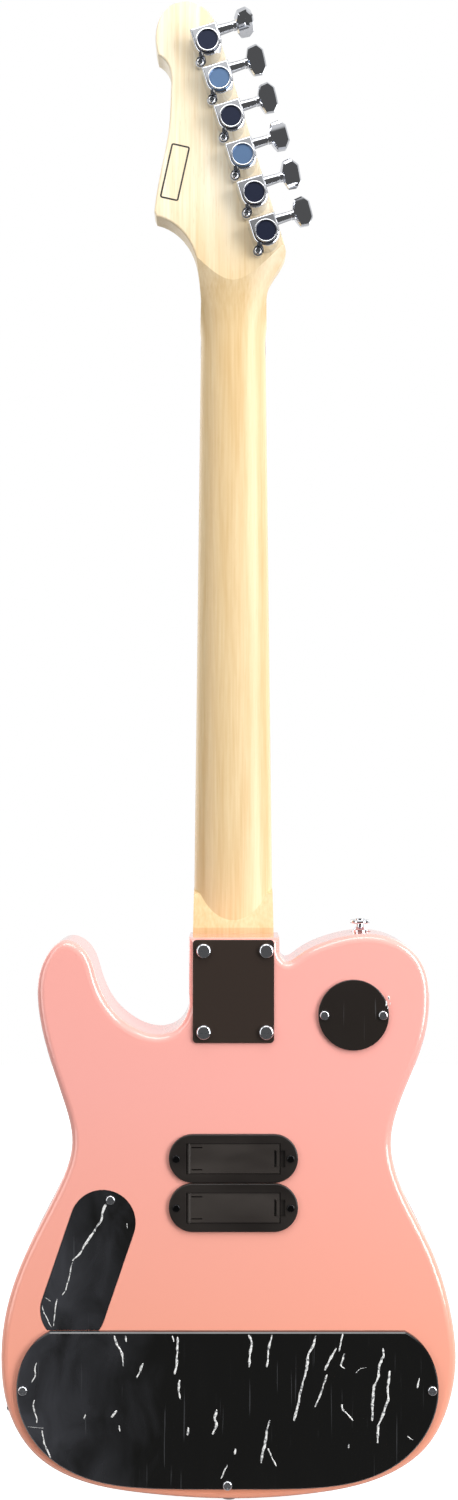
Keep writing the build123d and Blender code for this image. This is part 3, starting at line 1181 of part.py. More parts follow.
def make_small_screws():
    """The small screws of the pickguard, ring, pickups, grilles, speakers, amplifier and jack plate."""
    seats = [(place, BODY_FRONT - GUARD_THICKNESS, -1) for place in guard_screw_places()]
    seats += [(place, BODY_FRONT - RING_THICKNESS, -1) for place in ring_screw_places()]
    seats += [(place, BODY_FRONT - GRILLE_THICKNESS, -1) for place in grille_screw_places()]
    seats += [(place, CAVITY_FLOOR + SPEAKER_FLANGE, 1) for place in speaker_screw_places()]
    screws = [screw(place, y, SMALL_SCREW_RADIUS, SMALL_SCREW_HEAD, SMALL_SCREW_LENGTH - 1, 1.3, outward=out)
              for place, y, out in seats]
    screws += [screw(place, PICKUP_EAR_Y, SMALL_SCREW_RADIUS, SMALL_SCREW_HEAD, PICKUP_SCREW_LENGTH, 1.3,
                     outward=-1) for place in pickup_screw_places()]
    top = CAVITY_FLOOR + CIRCUIT_STAND + CIRCUIT_THICKNESS
    screws += [screw(place, top, SMALL_SCREW_RADIUS, SMALL_SCREW_HEAD, CIRCUIT_STAND + CIRCUIT_THICKNESS + 3, 1.3)
               for place in stand_places()]
    for frame in jack_screw_planes():
        shank = extrude(frame * Circle(SMALL_SCREW_RADIUS), amount=-SMALL_SCREW_LENGTH)
        screws.append(shank + extrude(frame * Circle(SMALL_SCREW_HEAD), amount=1.2))
    save("fixing_screws", *screws)


# ================================================================ controls
def make_controls():
    """Three pots with their nuts, their knobs with shafts, and the pickup switch with its lever."""
    pots = []
    for name, place in zip(("volume_knob", "tone_knob", "amp_knob"), pot_places()):
        can = rod(*place, POT_RADIUS, CAVITY_FLOOR + POT_HEIGHT, CAVITY_FLOOR)
        can = fillet(can.faces().sort_by(Axis.Y)[-1].edges(), 0.8)
        can += rod(*place, POT_BUSH_RADIUS, CAVITY_FLOOR, BODY_FRONT - POT_BUSH_PROUD)
        bore_end = BODY_FRONT - POT_BUSH_PROUD - 1
        bore = rod(*place, POT_SHAFT_RADIUS + SHAFT_CLEARANCE, CAVITY_FLOOR + 4, bore_end)
        hexagon = Pos(*place) * RegularPolygon(CONTROL_NUT_HEX / 2, 6, major_radius=False)
        nut = slab(hexagon, BODY_FRONT, BODY_FRONT - CONTROL_NUT_HEIGHT)
        pots += [can - bore, nut - rod(*place, POT_BUSH_RADIUS, BODY_FRONT + 1, BODY_FRONT - 9)]
        save(name, *knob(place))
    save("pots", *pots)
    x, z = on_body(SWITCH_CENTRE)
    top = BODY_FRONT - SWITCH_PROUD
    frame = slab(Pos(x, z) * Rectangle(*SWITCH_FRAME[:2]), CAVITY_FLOOR + SWITCH_FRAME[2], CAVITY_FLOOR)
    hollow = slab(Pos(x, z) * Rectangle(SWITCH_FRAME[0] - 3, SWITCH_FRAME[1] + 2),
                  CAVITY_FLOOR + SWITCH_FRAME[2] - 2, CAVITY_FLOOR + 2)
    switch = frame - hollow + rod(x, z, SWITCH_BUSH_RADIUS, CAVITY_FLOOR + 0.5, top)
    switch -= rod(x, z, SWITCH_BORE_RADIUS, CAVITY_FLOOR + 3, top - 1)
    pivot_y = BODY_FRONT - LEVER_PIVOT_DEPTH
    pin_reach = SWITCH_BUSH_RADIUS - 0.6
    switch -= bar_between((x - pin_reach - 0.2, pivot_y, z), (x + pin_reach + 0.2, pivot_y, z),
                          LEVER_PIN_RADIUS + SHAFT_CLEARANCE)
    collar = BODY_FRONT - GUARD_THICKNESS
    nut = rod(x, z, SWITCH_NUT_RADIUS, collar, collar - SWITCH_NUT_HEIGHT) - rod(x, z, SWITCH_BUSH_RADIUS, 9, -9)
    rim = nut.faces().sort_by(Axis.Y)[0].edges().sort_by(SortBy.RADIUS)[-1]
    save("toggle_switch", switch, chamfer(rim, 0.6))
    lever_end = BODY_FRONT - SWITCH_PROUD - LEVER_PROUD
    lever = rod(x, z, LEVER_RADIUS, pivot_y + LEVER_TAIL, lever_end)
    lever += bar_between((x - pin_reach, pivot_y, z), (x + pin_reach, pivot_y, z), LEVER_PIN_RADIUS)
    tip = rod(x, z, TIP_RADIUS, lever_end + TIP_LENGTH, lever_end - 1.5)
    tip = fillet(tip.edges().filter_by(GeomType.CIRCLE).sort_by(Axis.Y)[0], TIP_RADIUS * 0.8)
    tip = fillet(tip.edges().filter_by(GeomType.CIRCLE).sort_by(Axis.Y)[-1], 1.0)
    save("toggle_lever", lever, tip - rod(x, z, LEVER_RADIUS, lever_end + TIP_LENGTH + 1, lever_end))


def knob(place):
    """A knob, hollow over its nut and grooved for the fingers, and the shaft fixed in it."""
    bottom = BODY_FRONT - KNOB_LIFT
    top = bottom - KNOB_HEIGHT
    body = rod(*place, KNOB_RADIUS, bottom, top)
    body = fillet(body.edges().filter_by(GeomType.CIRCLE).sort_by(Axis.Y)[0], KNOB_ROUND)
    body -= rod(*place, KNOB_RECESS[0], bottom + 1, bottom - KNOB_RECESS[1])
    shaft_end = top + 3
    body -= rod(*place, POT_SHAFT_RADIUS, bottom, shaft_end)
    body -= slab(Pos(place[0], place[1] + KNOB_RADIUS - 2) * Rectangle(1.0, 5), top + 0.6, top - 1)
    return [body, rod(*place, POT_SHAFT_RADIUS, CAVITY_FLOOR + 3.5, shaft_end)]


# ================================================================ speakers, amplifier, jack and strap buttons
def make_speakers():
    """Two small speakers on the cavity floor and their slotted grilles on the front."""
    speakers, grilles = [], []
    for centre in speaker_places():
        x, z = centre
        seat = CAVITY_FLOOR + SPEAKER_FLANGE
        throat = seat + SPEAKER_DEPTH
        cup = Plane(origin=(x, (seat + throat) / 2, z), z_dir=(0, 1, 0))
        basket = cup * Cone(SPEAKER_MOUTH, SPEAKER_NECK, SPEAKER_DEPTH)
        basket += rod(x, z, SPEAKER_RADIUS, seat, CAVITY_FLOOR)
        basket -= rod(x, z, SPEAKER_MOUTH - BASKET_WALL, seat, CAVITY_FLOOR - 1)
        basket -= cup * Cone(SPEAKER_MOUTH - BASKET_WALL, SPEAKER_NECK - BASKET_WALL, SPEAKER_DEPTH)
        magnet = rod(x, z, MAGNET_RADIUS, throat + MAGNET_HEIGHT, throat)
        cone = Plane(origin=(x, seat + SPEAKER_DEPTH * 0.3, z), z_dir=(0, 1, 0))
        outer = Cone(SPEAKER_MOUTH - BASKET_WALL - 3.2, 7, SPEAKER_DEPTH * 0.6)
        inner = Cone(SPEAKER_MOUTH - BASKET_WALL - 4.0, 6.2, SPEAKER_DEPTH * 0.6)
        paper = cone * (outer - inner)
        former = rod(x, z, 7, throat, seat + SPEAKER_DEPTH * 0.6) - rod(x, z, 6.2, throat + 1, seat)
        surround = rod(x, z, SPEAKER_MOUTH - BASKET_WALL, seat + 0.4, seat - 0.8)
        surround -= rod(x, z, SPEAKER_MOUTH - BASKET_WALL - 4.6, seat + 1, seat - 2)
        for place in speaker_screw_places():
            basket -= rod(*place, SMALL_SCREW_RADIUS + PILOT_GAP, seat + 1, CAVITY_FLOOR - 1)
        speakers += [basket, magnet, paper + former + surround]
        grille = rod(x, z, GRILLE_RADIUS, BODY_FRONT, BODY_FRONT - GRILLE_THICKNESS)
        grille = chamfer(grille.edges().filter_by(GeomType.CIRCLE).sort_by(Axis.Y)[0], 0.8)
        pitch = GRILLE_SLOT + GRILLE_BAR
        for row in range(int(-GRILLE_OPENING / pitch) + 1, int(GRILLE_OPENING / pitch)):
            reach = (GRILLE_OPENING ** 2 - (row * pitch) ** 2) ** 0.5
            slot = Pos(x, z + row * pitch) * SlotOverall(2 * reach, GRILLE_SLOT)
            grille -= slab(slot, BODY_FRONT + 1, BODY_FRONT - GRILLE_THICKNESS - 1)
        for place in grille_screw_places():
            grille -= rod(*place, SMALL_SCREW_RADIUS + PILOT_GAP, BODY_FRONT + 1, BODY_FRONT - 5)
        grilles.append(grille)
    save("speakers", *speakers)
    save("speaker_grilles", *grilles)


def make_amplifier():
    """The amplifier's board on four posts, with its larger components."""
    x, z = on_body((MAIN_COVER_CENTRE, SPEAKER_Z))
    low = CAVITY_FLOOR + CIRCUIT_STAND
    top = low + CIRCUIT_THICKNESS
    board = slab(Pos(x, z) * RectangleRounded(*CIRCUIT_SIZE, 2), top, low)
    pieces = []
    for place in stand_places():
        board -= rod(*place, SMALL_SCREW_RADIUS + PILOT_GAP, top + 1, low - 1)
        stand = rod(*place, STAND_RADIUS, low, CAVITY_FLOOR)
        pieces.append(stand - rod(*place, SMALL_SCREW_RADIUS + PILOT_GAP, low + 1, CAVITY_FLOOR - 1))
    for dx, dz, radius, height in ((-12, 16, 5, 12), (0, 18, 4, 9), (-14, -2, 3, 8), (14, -18, 5, 12)):
        pieces.append(rod(x + dx, z + dz, radius, top + height, top))
    for dx, dz, width, length, height in ((8, 2, 10, 18, 4), (-10, -18, 14, 8, 6), (14, 17, 10, 9, 7)):
        pieces.append(slab(Pos(x + dx, z + dz) * Rectangle(width, length), top + height, top))
    save("amp_board", board, *pieces)


def make_jack():
    """The output jack in its round plate on the treble edge."""
    outer = jack_plane(-JACK_PLATE_PROUD)
    seat = jack_plane(JACK_PLATE_THICKNESS - JACK_PLATE_PROUD)
    plate = extrude(outer * Circle(JACK_PLATE_RADIUS), amount=-JACK_PLATE_THICKNESS)
    plate -= extrude(outer * Circle(JACK_BARREL + SLIDE_GAP), amount=-JACK_PLATE_THICKNESS - 1)
    for frame in jack_screw_planes():
        plate -= extrude(frame * Circle(SMALL_SCREW_RADIUS + PILOT_GAP), amount=-JACK_PLATE_THICKNESS - 1)
    save("jack_plate", plate)
    body = extrude(seat * Circle(JACK_BODY), amount=-JACK_BODY_LENGTH)
    barrel = extrude(seat * Circle(JACK_BARREL), amount=JACK_PLATE_THICKNESS + 2.6)
    mouth = jack_plane(-JACK_PLATE_PROUD - 2.6)
    bore = extrude(mouth * Circle(JACK_BORE), amount=-JACK_BORE_LENGTH)
    nut = extrude(outer * RegularPolygon(6.4, 6, major_radius=False), amount=1.8)
    save("output_jack", body + barrel - bore, nut - extrude(outer * Circle(JACK_BARREL), amount=3))


def make_strap_buttons():
    """The two strap buttons, each on its long screw."""
    buttons, screws = [], []
    for frame in strap_planes():
        base = frame * Pos(0, 0, 0.8) * Cylinder(STRAP_BASE, 1.6)
        flare = frame * Pos(0, 0, 1.6 + 1.0) * Cone(STRAP_BASE - 0.4, STRAP_WAIST, 2.0)
        waist = frame * Pos(0, 0, STRAP_HEIGHT / 2) * Cylinder(STRAP_WAIST, STRAP_HEIGHT - 1)
        cap = frame * Pos(0, 0, STRAP_HEIGHT - 1.2) * Cylinder(STRAP_HEAD, 2.4)
        button = base + flare + waist + fillet(cap.edges().filter_by(GeomType.CIRCLE), 0.9)
        bore = Cylinder(STRAP_SCREW_RADIUS + PILOT_GAP, 2 * STRAP_HEIGHT)
        bore = frame * Pos(0, 0, STRAP_HEIGHT / 2) * bore
        recess = frame * Pos(0, 0, STRAP_HEIGHT) * Cylinder(STRAP_SCREW_HEAD + SLIDE_GAP, 2.0)
        buttons.append(button - bore - recess)
        length = STRAP_SCREW_LENGTH + STRAP_HEIGHT - 2
        shank = frame * Pos(0, 0, STRAP_HEIGHT - 1 - length / 2) * Cylinder(STRAP_SCREW_RADIUS, length)
        head = frame * Pos(0, 0, STRAP_HEIGHT - 0.2) * Cylinder(STRAP_SCREW_HEAD, 1.6)
        for size in ((4.4, 0.9), (0.9, 4.4)):
            head -= frame * Pos(0, 0, STRAP_HEIGHT + 0.3) * Box(size[0], size[1], 1.4)
        screws.append(shank + head)
    save("strap_buttons", *buttons)
    save("strap_screws", *screws)


make_fretboard()
make_nut()
finish_neck(make_neck())
make_tuners()
make_string_trees()
bore_body(make_body())
make_covers()
make_battery_boxes()
make_guard()
make_pickups()
make_bridge()
make_small_screws()
make_controls()
make_speakers()
make_amplifier()
make_jack()
make_strap_buttons()
make_strings()
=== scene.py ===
"""A pink single-cutaway electric guitar, seen from its back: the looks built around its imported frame."""
import json
import logging
import math
import random
from dataclasses import dataclass, field
from enum import Enum
from typing import Optional, Sequence

import bpy
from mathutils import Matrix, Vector


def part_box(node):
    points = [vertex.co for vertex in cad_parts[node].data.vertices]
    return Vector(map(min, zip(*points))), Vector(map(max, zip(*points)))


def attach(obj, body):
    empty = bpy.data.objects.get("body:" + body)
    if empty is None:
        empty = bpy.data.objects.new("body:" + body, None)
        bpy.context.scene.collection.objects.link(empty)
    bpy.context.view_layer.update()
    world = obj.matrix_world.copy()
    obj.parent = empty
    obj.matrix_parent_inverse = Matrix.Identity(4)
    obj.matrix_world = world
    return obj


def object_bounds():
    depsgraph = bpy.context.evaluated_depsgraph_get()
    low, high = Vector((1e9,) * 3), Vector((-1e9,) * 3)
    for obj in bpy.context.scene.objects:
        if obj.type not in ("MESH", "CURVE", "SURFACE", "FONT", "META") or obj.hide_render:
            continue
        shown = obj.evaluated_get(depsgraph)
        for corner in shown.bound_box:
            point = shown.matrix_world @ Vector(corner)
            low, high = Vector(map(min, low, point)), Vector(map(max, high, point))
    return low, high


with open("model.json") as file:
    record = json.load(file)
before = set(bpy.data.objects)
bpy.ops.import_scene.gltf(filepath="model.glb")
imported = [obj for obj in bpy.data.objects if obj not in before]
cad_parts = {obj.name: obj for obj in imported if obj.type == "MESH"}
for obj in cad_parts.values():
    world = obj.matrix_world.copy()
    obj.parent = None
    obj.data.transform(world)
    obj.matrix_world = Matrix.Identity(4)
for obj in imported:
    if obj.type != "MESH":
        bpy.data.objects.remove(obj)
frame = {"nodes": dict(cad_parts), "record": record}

LOG = logging.getLogger("guitar")
MM = 0.001
CAD_BOX = [[float(v) for v in corner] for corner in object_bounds()]
Point = tuple[float, float]


# ---------------------------------------------------------------- colour and nodes
def linear(code: str, alpha: float = 1.0) -> tuple[float, float, float, float]:
    """Turns an sRGB hex colour to linear light.

    Args:
        code: The colour as "#rrggbb".
        alpha: The fourth channel.

    Returns:
        Red, green, blue and alpha, linear.
    """
    channels = [int(code[i:i + 2], 16) / 255 for i in (1, 3, 5)]
    red, green, blue = (c / 12.92 if c <= 0.04045 else ((c + 0.055) / 1.055) ** 2.4 for c in channels)
    return red, green, blue, alpha


def add_node(tree: bpy.types.NodeTree, kind: str, settings: Optional[dict] = None,
             links: Optional[dict] = None) -> bpy.types.Node:
    """Adds a shader node with its settings and links.

    Args:
        tree: The material's node tree.
        kind: The node's type name, such as "ShaderNodeTexNoise".
        settings: Property or input names and their values.
        links: Input names, or numbers, and the sockets that feed them.

    Returns:
        The new node.
    """
    node = tree.nodes.new(kind)
    for name, value in (settings or {}).items():
        if isinstance(name, str) and hasattr(node, name):
            setattr(node, name, value)
        else:
            node.inputs[name].default_value = value
    for name, socket in (links or {}).items():
        tree.links.new(socket, node.inputs[name])
    return node


def per_mm(size_mm: float) -> float:
    """The texture scale that gives a pattern of this size in millimetres."""
    return 1.0 / (size_mm * MM)


class Gloss(Enum):
    """How a surface was finished, as its roughness."""

    MIRROR = 0.05
    POLISHED = 0.12
    SATIN = 0.34
    MOULDED = 0.46
    RAW = 0.62


# ---------------------------------------------------------------- finishes
@dataclass(frozen=True)
class Finish:
    """One surface finish: a base colour and gloss, with a fine pattern added by its kind."""

    name: str
    colour: str
    gloss: Gloss = Gloss.SATIN
    metallic: float = 0.0
    ior: float = 1.5

    def material(self) -> bpy.types.Material:
        """Makes this finish's material, once per call."""
        material = bpy.data.materials.new(self.name)
        material.use_nodes = True
        tree = material.node_tree
        shader = tree.nodes["Principled BSDF"]
        shader.inputs["Base Color"].default_value = linear(self.colour)
        shader.inputs["Metallic"].default_value = self.metallic
        shader.inputs["Roughness"].default_value = self.gloss.value
        if not self.metallic:
            shader.inputs["IOR"].default_value = self.ior
        self.dress(tree, shader)
        return material

    def place(self, tree: bpy.types.NodeTree, stretch: Sequence[float] = (1, 1, 1)) -> bpy.types.NodeSocket:
        """Object coordinates, stretched along the axes.

        Args:
            tree: The material's node tree.
            stretch: How far to stretch the pattern's frequency along x, y and z.

        Returns:
            The socket that gives the place.
        """
        coordinates = add_node(tree, "ShaderNodeTexCoord").outputs["Object"]
        mapping = add_node(tree, "ShaderNodeMapping", {"Scale": tuple(stretch)}, {"Vector": coordinates})
        return mapping.outputs["Vector"]

    def noise(self, tree: bpy.types.NodeTree, size_mm: float, detail: float = 3.0,
              stretch: Sequence[float] = (1, 1, 1), distortion: float = 0.0) -> bpy.types.NodeSocket:
        """A noise of features this size in millimetres.

        Args:
            tree: The material's node tree.
            size_mm: The size of one feature.
            detail: The number of finer layers.
            stretch: The pattern's frequency along x, y and z.
            distortion: How far the pattern is warped.

        Returns:
            The noise's factor socket.
        """
        texture = add_node(tree, "ShaderNodeTexNoise",
                           {"Scale": per_mm(size_mm), "Detail": detail, "Distortion": distortion},
                           {"Vector": self.place(tree, stretch)})
        return texture.outputs["Fac"]

    def ramp(self, tree: bpy.types.NodeTree, factor: bpy.types.NodeSocket,
             stops: Sequence[tuple[float, str]]) -> bpy.types.NodeSocket:
        """A colour ramp over a factor.

        Args:
            tree: The material's node tree.
            factor: The socket that drives the ramp.
            stops: Positions and sRGB colours.

        Returns:
            The colour socket.
        """
        node = add_node(tree, "ShaderNodeValToRGB", links={"Fac": factor})
        elements = node.color_ramp.elements
        while len(elements) < len(stops):
            elements.new(0.5)
        for element, (position, code) in zip(elements, stops):
            element.position = position
            element.color = linear(code)
        return node.outputs["Color"]

    def spread(self, tree: bpy.types.NodeTree, factor: bpy.types.NodeSocket, low: float,
               high: float) -> bpy.types.NodeSocket:
        """Maps a factor to a range.

        Args:
            tree: The material's node tree.
            factor: The socket, from 0 to 1.
            low: What 0.3 gives.
            high: What 0.7 gives.

        Returns:
            The mapped socket.
        """
        node = add_node(tree, "ShaderNodeMapRange",
                        {"From Min": 0.3, "From Max": 0.7, "To Min": low, "To Max": high}, {"Value": factor})
        return node.outputs["Result"]

    def bump(self, tree: bpy.types.NodeTree, shader: bpy.types.Node, height: bpy.types.NodeSocket,
             depth_mm: float, strength: float = 1.0) -> None:
        """Raises the surface by a height pattern.

        Args:
            tree: The material's node tree.
            shader: The shader whose normal it drives.
            height: The height socket, from 0 to 1.
            depth_mm: What a height of 1 stands for.
            strength: The share of the effect that shows.
        """
        node = add_node(tree, "ShaderNodeBump", {"Strength": strength, "Distance": depth_mm * MM},
                        {"Height": height})
        tree.links.new(node.outputs["Normal"], shader.inputs["Normal"])

    def dress(self, tree: bpy.types.NodeTree, shader: bpy.types.Node) -> None:
        """Adds the fine pattern: here a slight unevenness of gloss, as on any handled surface."""
        haze = self.noise(tree, 6.0)
        low, high = self.gloss.value * 0.85, min(1.0, self.gloss.value * 1.25)
        tree.links.new(self.spread(tree, haze, low, high), shader.inputs["Roughness"])


@dataclass(frozen=True)
class Lacquer(Finish):
    """Sprayed and buffed polyester: a deep gloss coat over an even colour that turns warmer towards the tail,
    with painted shade on the bottom rim.
    """

    warm: str = "#ffaa8c"
    # The rim colour is painted shade: the darker orange of the downward-facing bottom edge.
    rim: str = "#f39a76"
    warm_by: float = 0.86
    coat: float = 1.0
    coat_roughness: float = 0.02
    fade_mm: tuple[float, float] = (-520.0, -800.0)

    def dress(self, tree: bpy.types.NodeTree, shader: bpy.types.Node) -> None:
        """Adds the warmer tail with the bottom rim's painted shade, a faint orange peel and the buffed coat.
        """
        split = add_node(tree, "ShaderNodeSeparateXYZ", links={"Vector": self.place(tree)})
        start, end = self.fade_mm
        fade = add_node(tree, "ShaderNodeMapRange", {"From Min": start * MM, "From Max": end * MM},
                        {"Value": split.outputs["Z"]})
        # The last stop darkens the bottom rim as painted shade.
        stops = [(0.0, self.colour), (self.warm_by, self.warm), (1.0, self.rim)]
        colour = self.ramp(tree, fade.outputs["Result"], stops)
        tree.links.new(colour, shader.inputs["Base Color"])
        # Buffing leaves the gloss a little uneven over a hand's width.
        tree.links.new(self.spread(tree, self.noise(tree, 45.0, 2.0), 0.16, 0.24), shader.inputs["Roughness"])
        # Orange peel on sprayed polyester is about 2 mm across and only microns deep.
        self.bump(tree, shader, self.noise(tree, 2.2, 1.0), 0.02, 0.25)
        shader.inputs["Coat Weight"].default_value = self.coat
        shader.inputs["Coat Roughness"].default_value = self.coat_roughness


@dataclass(frozen=True)
class Wood(Finish):
    """Straight-grained wood under a thin satin seal, with the grain along the neck."""

    dark: str = "#c99a66"
    # The pale colour is painted light, laid over the head end.
    pale: Optional[str] = None
    painted_light_mm: tuple[float, float] = (0.0, 60.0)
    grain_mm: float = 1.6
    dark_at: float = 0.34
    contrast: float = 0.35
    pore: float = 0.5
    pore_edge: tuple[float, float] = (0.66, 0.74)

    def dress(self, tree: bpy.types.NodeTree, shader: bpy.types.Node) -> None:
        """Adds growth bands, fibre streaks, short pores and their shallow relief."""
        along = (1.0, 1.0, 0.035)
        # Growth bands 12 mm apart drift slowly along the blank; fibres are about a millimetre wide.
        bands = self.noise(tree, 14.0, 2.0, (1.0, 0.5, 0.06), 0.6)
        fibre = self.noise(tree, self.grain_mm, 4.0, along)
        mixed = add_node(tree, "ShaderNodeMath", {"operation": "MULTIPLY_ADD", 1: 0.5},
                         {0: fibre})
        tree.links.new(add_node(tree, "ShaderNodeMath", {"operation": "MULTIPLY", 1: 0.5},
                                {0: bands}).outputs[0], mixed.inputs[2])
        light_at = self.dark_at + self.contrast
        colour = self.ramp(tree, mixed.outputs[0], [(self.dark_at, self.dark), (light_at, self.colour)])
        if self.pale:
            # Painted light: the colour turns paler towards the head end, standing in for the light on the
            # headstock.
            split = add_node(tree, "ShaderNodeSeparateXYZ", links={"Vector": self.place(tree)})
            start, end = self.painted_light_mm
            fade = add_node(tree, "ShaderNodeMapRange", {"From Min": start * MM, "From Max": end * MM},
                            {"Value": split.outputs["Z"]})
            light = self.ramp(tree, mixed.outputs[0], [(self.dark_at, self.colour), (light_at, self.pale)])
            blend = add_node(tree, "ShaderNodeMix", {"data_type": "RGBA"})
            tree.links.new(fade.outputs["Result"], blend.inputs[0])
            tree.links.new(colour, blend.inputs[6])
            tree.links.new(light, blend.inputs[7])
            colour = blend.outputs[2]
        # Pores: dark ticks 0.4 mm wide and some 8 mm long, only a few to the square centimetre.
        pores = self.noise(tree, 0.7, 1.0, (1.0, 1.0, 0.07))
        thin, thick = self.pore_edge
        tick = add_node(tree, "ShaderNodeMapRange",
                        {"From Min": thin, "From Max": thick, "To Min": 0.0, "To Max": self.pore},
                        {"Value": pores})
        shade = add_node(tree, "ShaderNodeMix", {"data_type": "RGBA"})
        tree.links.new(tick.outputs["Result"], shade.inputs[0])
        tree.links.new(colour, shade.inputs[6])
        shade.inputs[7].default_value = linear(self.dark)
        tree.links.new(shade.outputs[2], shader.inputs["Base Color"])
        tree.links.new(self.spread(tree, fibre, self.gloss.value - 0.05, self.gloss.value + 0.1),
                       shader.inputs["Roughness"])
        self.bump(tree, shader, fibre, 0.03, 0.3)


@dataclass(frozen=True)
class Plate(Finish):
    """Plated or bare metal: near mirror, with hairline polishing marks."""

    line_mm: float = 0.5
    stretch: tuple[float, float, float] = (1.0, 1.0, 0.05)
    depth_mm: float = 0.004

    def dress(self, tree: bpy.types.NodeTree, shader: bpy.types.Node) -> None:
        """Adds polishing lines that show only as a slight softening of reflections."""
        lines = self.noise(tree, self.line_mm, 2.0, self.stretch)
        low, high = self.gloss.value * 0.7, self.gloss.value * 1.5
        tree.links.new(self.spread(tree, lines, low, high), shader.inputs["Roughness"])
        self.bump(tree, shader, lines, self.depth_mm, 0.4)


@dataclass(frozen=True)
class Tinted(Finish):
    """Mirror discs under tinted lacquer, two of the six drawn in a lighter tint that is a painted reflection.
    """

    # The lighter tint is a painted reflection on two discs.
    lighter: str = "#6a88b0"
    painted_reflection_mm: tuple[float, float] = (84.9, 134.6)
    pitch_mm: float = 24.86

    def dress(self, tree: bpy.types.NodeTree, shader: bpy.types.Node) -> None:
        """Adds the painted reflection, a lighter tint within half a pitch of each such disc's height."""
        split = add_node(tree, "ShaderNodeSeparateXYZ", links={"Vector": self.place(tree)})
        found = None
        for height in self.painted_reflection_mm:
            near = add_node(tree, "ShaderNodeMath",
                            {"operation": "COMPARE", 1: height * MM, 2: self.pitch_mm / 2 * MM},
                            {0: split.outputs["Z"]})
            if found:
                near = add_node(tree, "ShaderNodeMath", {"operation": "MAXIMUM"},
                                {0: found.outputs[0], 1: near.outputs[0]})
            found = near
        colour = self.ramp(tree, found.outputs[0], [(0.0, self.colour), (1.0, self.lighter)])
        tree.links.new(colour, shader.inputs["Base Color"])


@dataclass(frozen=True)
class Moulded(Finish):
    """Injection-moulded ABS: spark-eroded grain in the tool leaves a fine even stipple."""

    grain_mm: float = 0.6
    worn: str = "#5a544e"

    def dress(self, tree: bpy.types.NodeTree, shader: bpy.types.Node) -> None:
        """Adds the stipple, faint flow marks and a rubbed lighter tone that follows the flow marks."""
        flow = self.noise(tree, 18.0, 2.0, (0.4, 1.0, 1.0))
        tree.links.new(self.ramp(tree, flow, [(0.38, self.colour), (0.95, self.worn)]),
                       shader.inputs["Base Color"])
        tree.links.new(self.spread(tree, flow, self.gloss.value * 0.85, self.gloss.value * 1.15),
                       shader.inputs["Roughness"])
        # The real grain is about 0.1 mm; it is drawn six times coarser so that it shows.
        self.bump(tree, shader, self.noise(tree, self.grain_mm, 1.0), 0.03, 0.35)


@dataclass(frozen=True)
class Filmed(Finish):
    """Gloss black sheet still under its clear shipping film: hazy smudges and hairline scratches."""

    haze: str = "#3c3d42"
    haze_share: float = 0.5
    haze_side_mm: tuple[float, float] = (30.0, 150.0)
    coat: float = 0.5

    def scratches(self, tree: bpy.types.NodeTree, turn: float, size_mm: float) -> bpy.types.NodeSocket:
        """Thin bright lines from a stretched cell pattern, turned by an angle.

        Args:
            tree: The material's node tree.
            turn: The lines' turn in radians.
            size_mm: The spacing of the lines.

        Returns:
            A socket, 1 on a scratch and 0 off it.
        """
        coordinates = add_node(tree, "ShaderNodeTexCoord").outputs["Object"]
        turned = add_node(tree, "ShaderNodeMapping",
                          {"Rotation": (0.0, turn, 0.0), "Scale": (1.0, 1.0, 0.03)},
                          {"Vector": coordinates})
        lines = add_node(tree, "ShaderNodeTexNoise", {"Scale": per_mm(size_mm), "Detail": 1.0},
                         {"Vector": turned.outputs["Vector"]})
        mask = add_node(tree, "ShaderNodeMapRange",
                        {"From Min": 0.74, "From Max": 0.80, "To Min": 0.0, "To Max": 1.0},
                        {"Value": lines.outputs["Fac"]})
        return mask.outputs["Result"]

    def dress(self, tree: bpy.types.NodeTree, shader: bpy.types.Node) -> None:
        """Adds smudges, two directions of scratches and the film's clear coat."""
        smudge = self.noise(tree, 26.0, 5.0, (1.0, 1.0, 0.55), 0.8)
        # Handling has clouded the film more towards the treble side.
        split = add_node(tree, "ShaderNodeSeparateXYZ", links={"Vector": self.place(tree)})
        start, end = self.haze_side_mm
        side = add_node(tree, "ShaderNodeMapRange",
                        {"From Min": start * MM, "From Max": end * MM, "To Min": 0.2, "To Max": 1.3},
                        {"Value": split.outputs["X"]})
        cloud = add_node(tree, "ShaderNodeMath", {"operation": "MULTIPLY"},
                         {0: smudge, 1: side.outputs["Result"]})
        base = self.ramp(tree, cloud.outputs[0], [(0.2, self.colour), (0.2 + self.haze_share, self.haze)])
        both = add_node(tree, "ShaderNodeMath", {"operation": "MAXIMUM"},
                        {0: self.scratches(tree, 0.25, 1.3), 1: self.scratches(tree, -0.9, 2.1)})
        tone = add_node(tree, "ShaderNodeMath", {"operation": "MULTIPLY", 1: 0.07}, {0: both.outputs[0]})
        shade = add_node(tree, "ShaderNodeMix", {"data_type": "RGBA"})
        tree.links.new(tone.outputs[0], shade.inputs[0])
        tree.links.new(base, shade.inputs[6])
        shade.inputs[7].default_value = linear("#b9bcc2")
        tree.links.new(shade.outputs[2], shader.inputs["Base Color"])
        tree.links.new(self.spread(tree, smudge, 0.10, 0.26), shader.inputs["Roughness"])
        self.bump(tree, shader, self.noise(tree, 9.0, 2.0), 0.06, 0.3)
        shader.inputs["Coat Weight"].default_value = self.coat
        shader.inputs["Coat Roughness"].default_value = 0.06


@dataclass(frozen=True)
class LiftedFilm(Finish):
    """Clear polyethylene film lifted off the sheet in wrinkles and blisters, painted white as a highlight."""

    def dress(self, tree: bpy.types.NodeTree, shader: bpy.types.Node) -> None:
        """Adds the broken painted white highlight of creased film."""
        crease = self.noise(tree, 1.4, 3.0)
        # The white base colour is a painted highlight on the clear film.
        tree.links.new(self.ramp(tree, crease, [(0.36, "#6d6f72"), (0.52, self.colour)]),
                       shader.inputs["Base Color"])
        tree.links.new(self.spread(tree, crease, 0.12, 0.4), shader.inputs["Roughness"])
        self.bump(tree, shader, crease, 0.15, 0.6)
        shader.inputs["Coat Weight"].default_value = 0.6


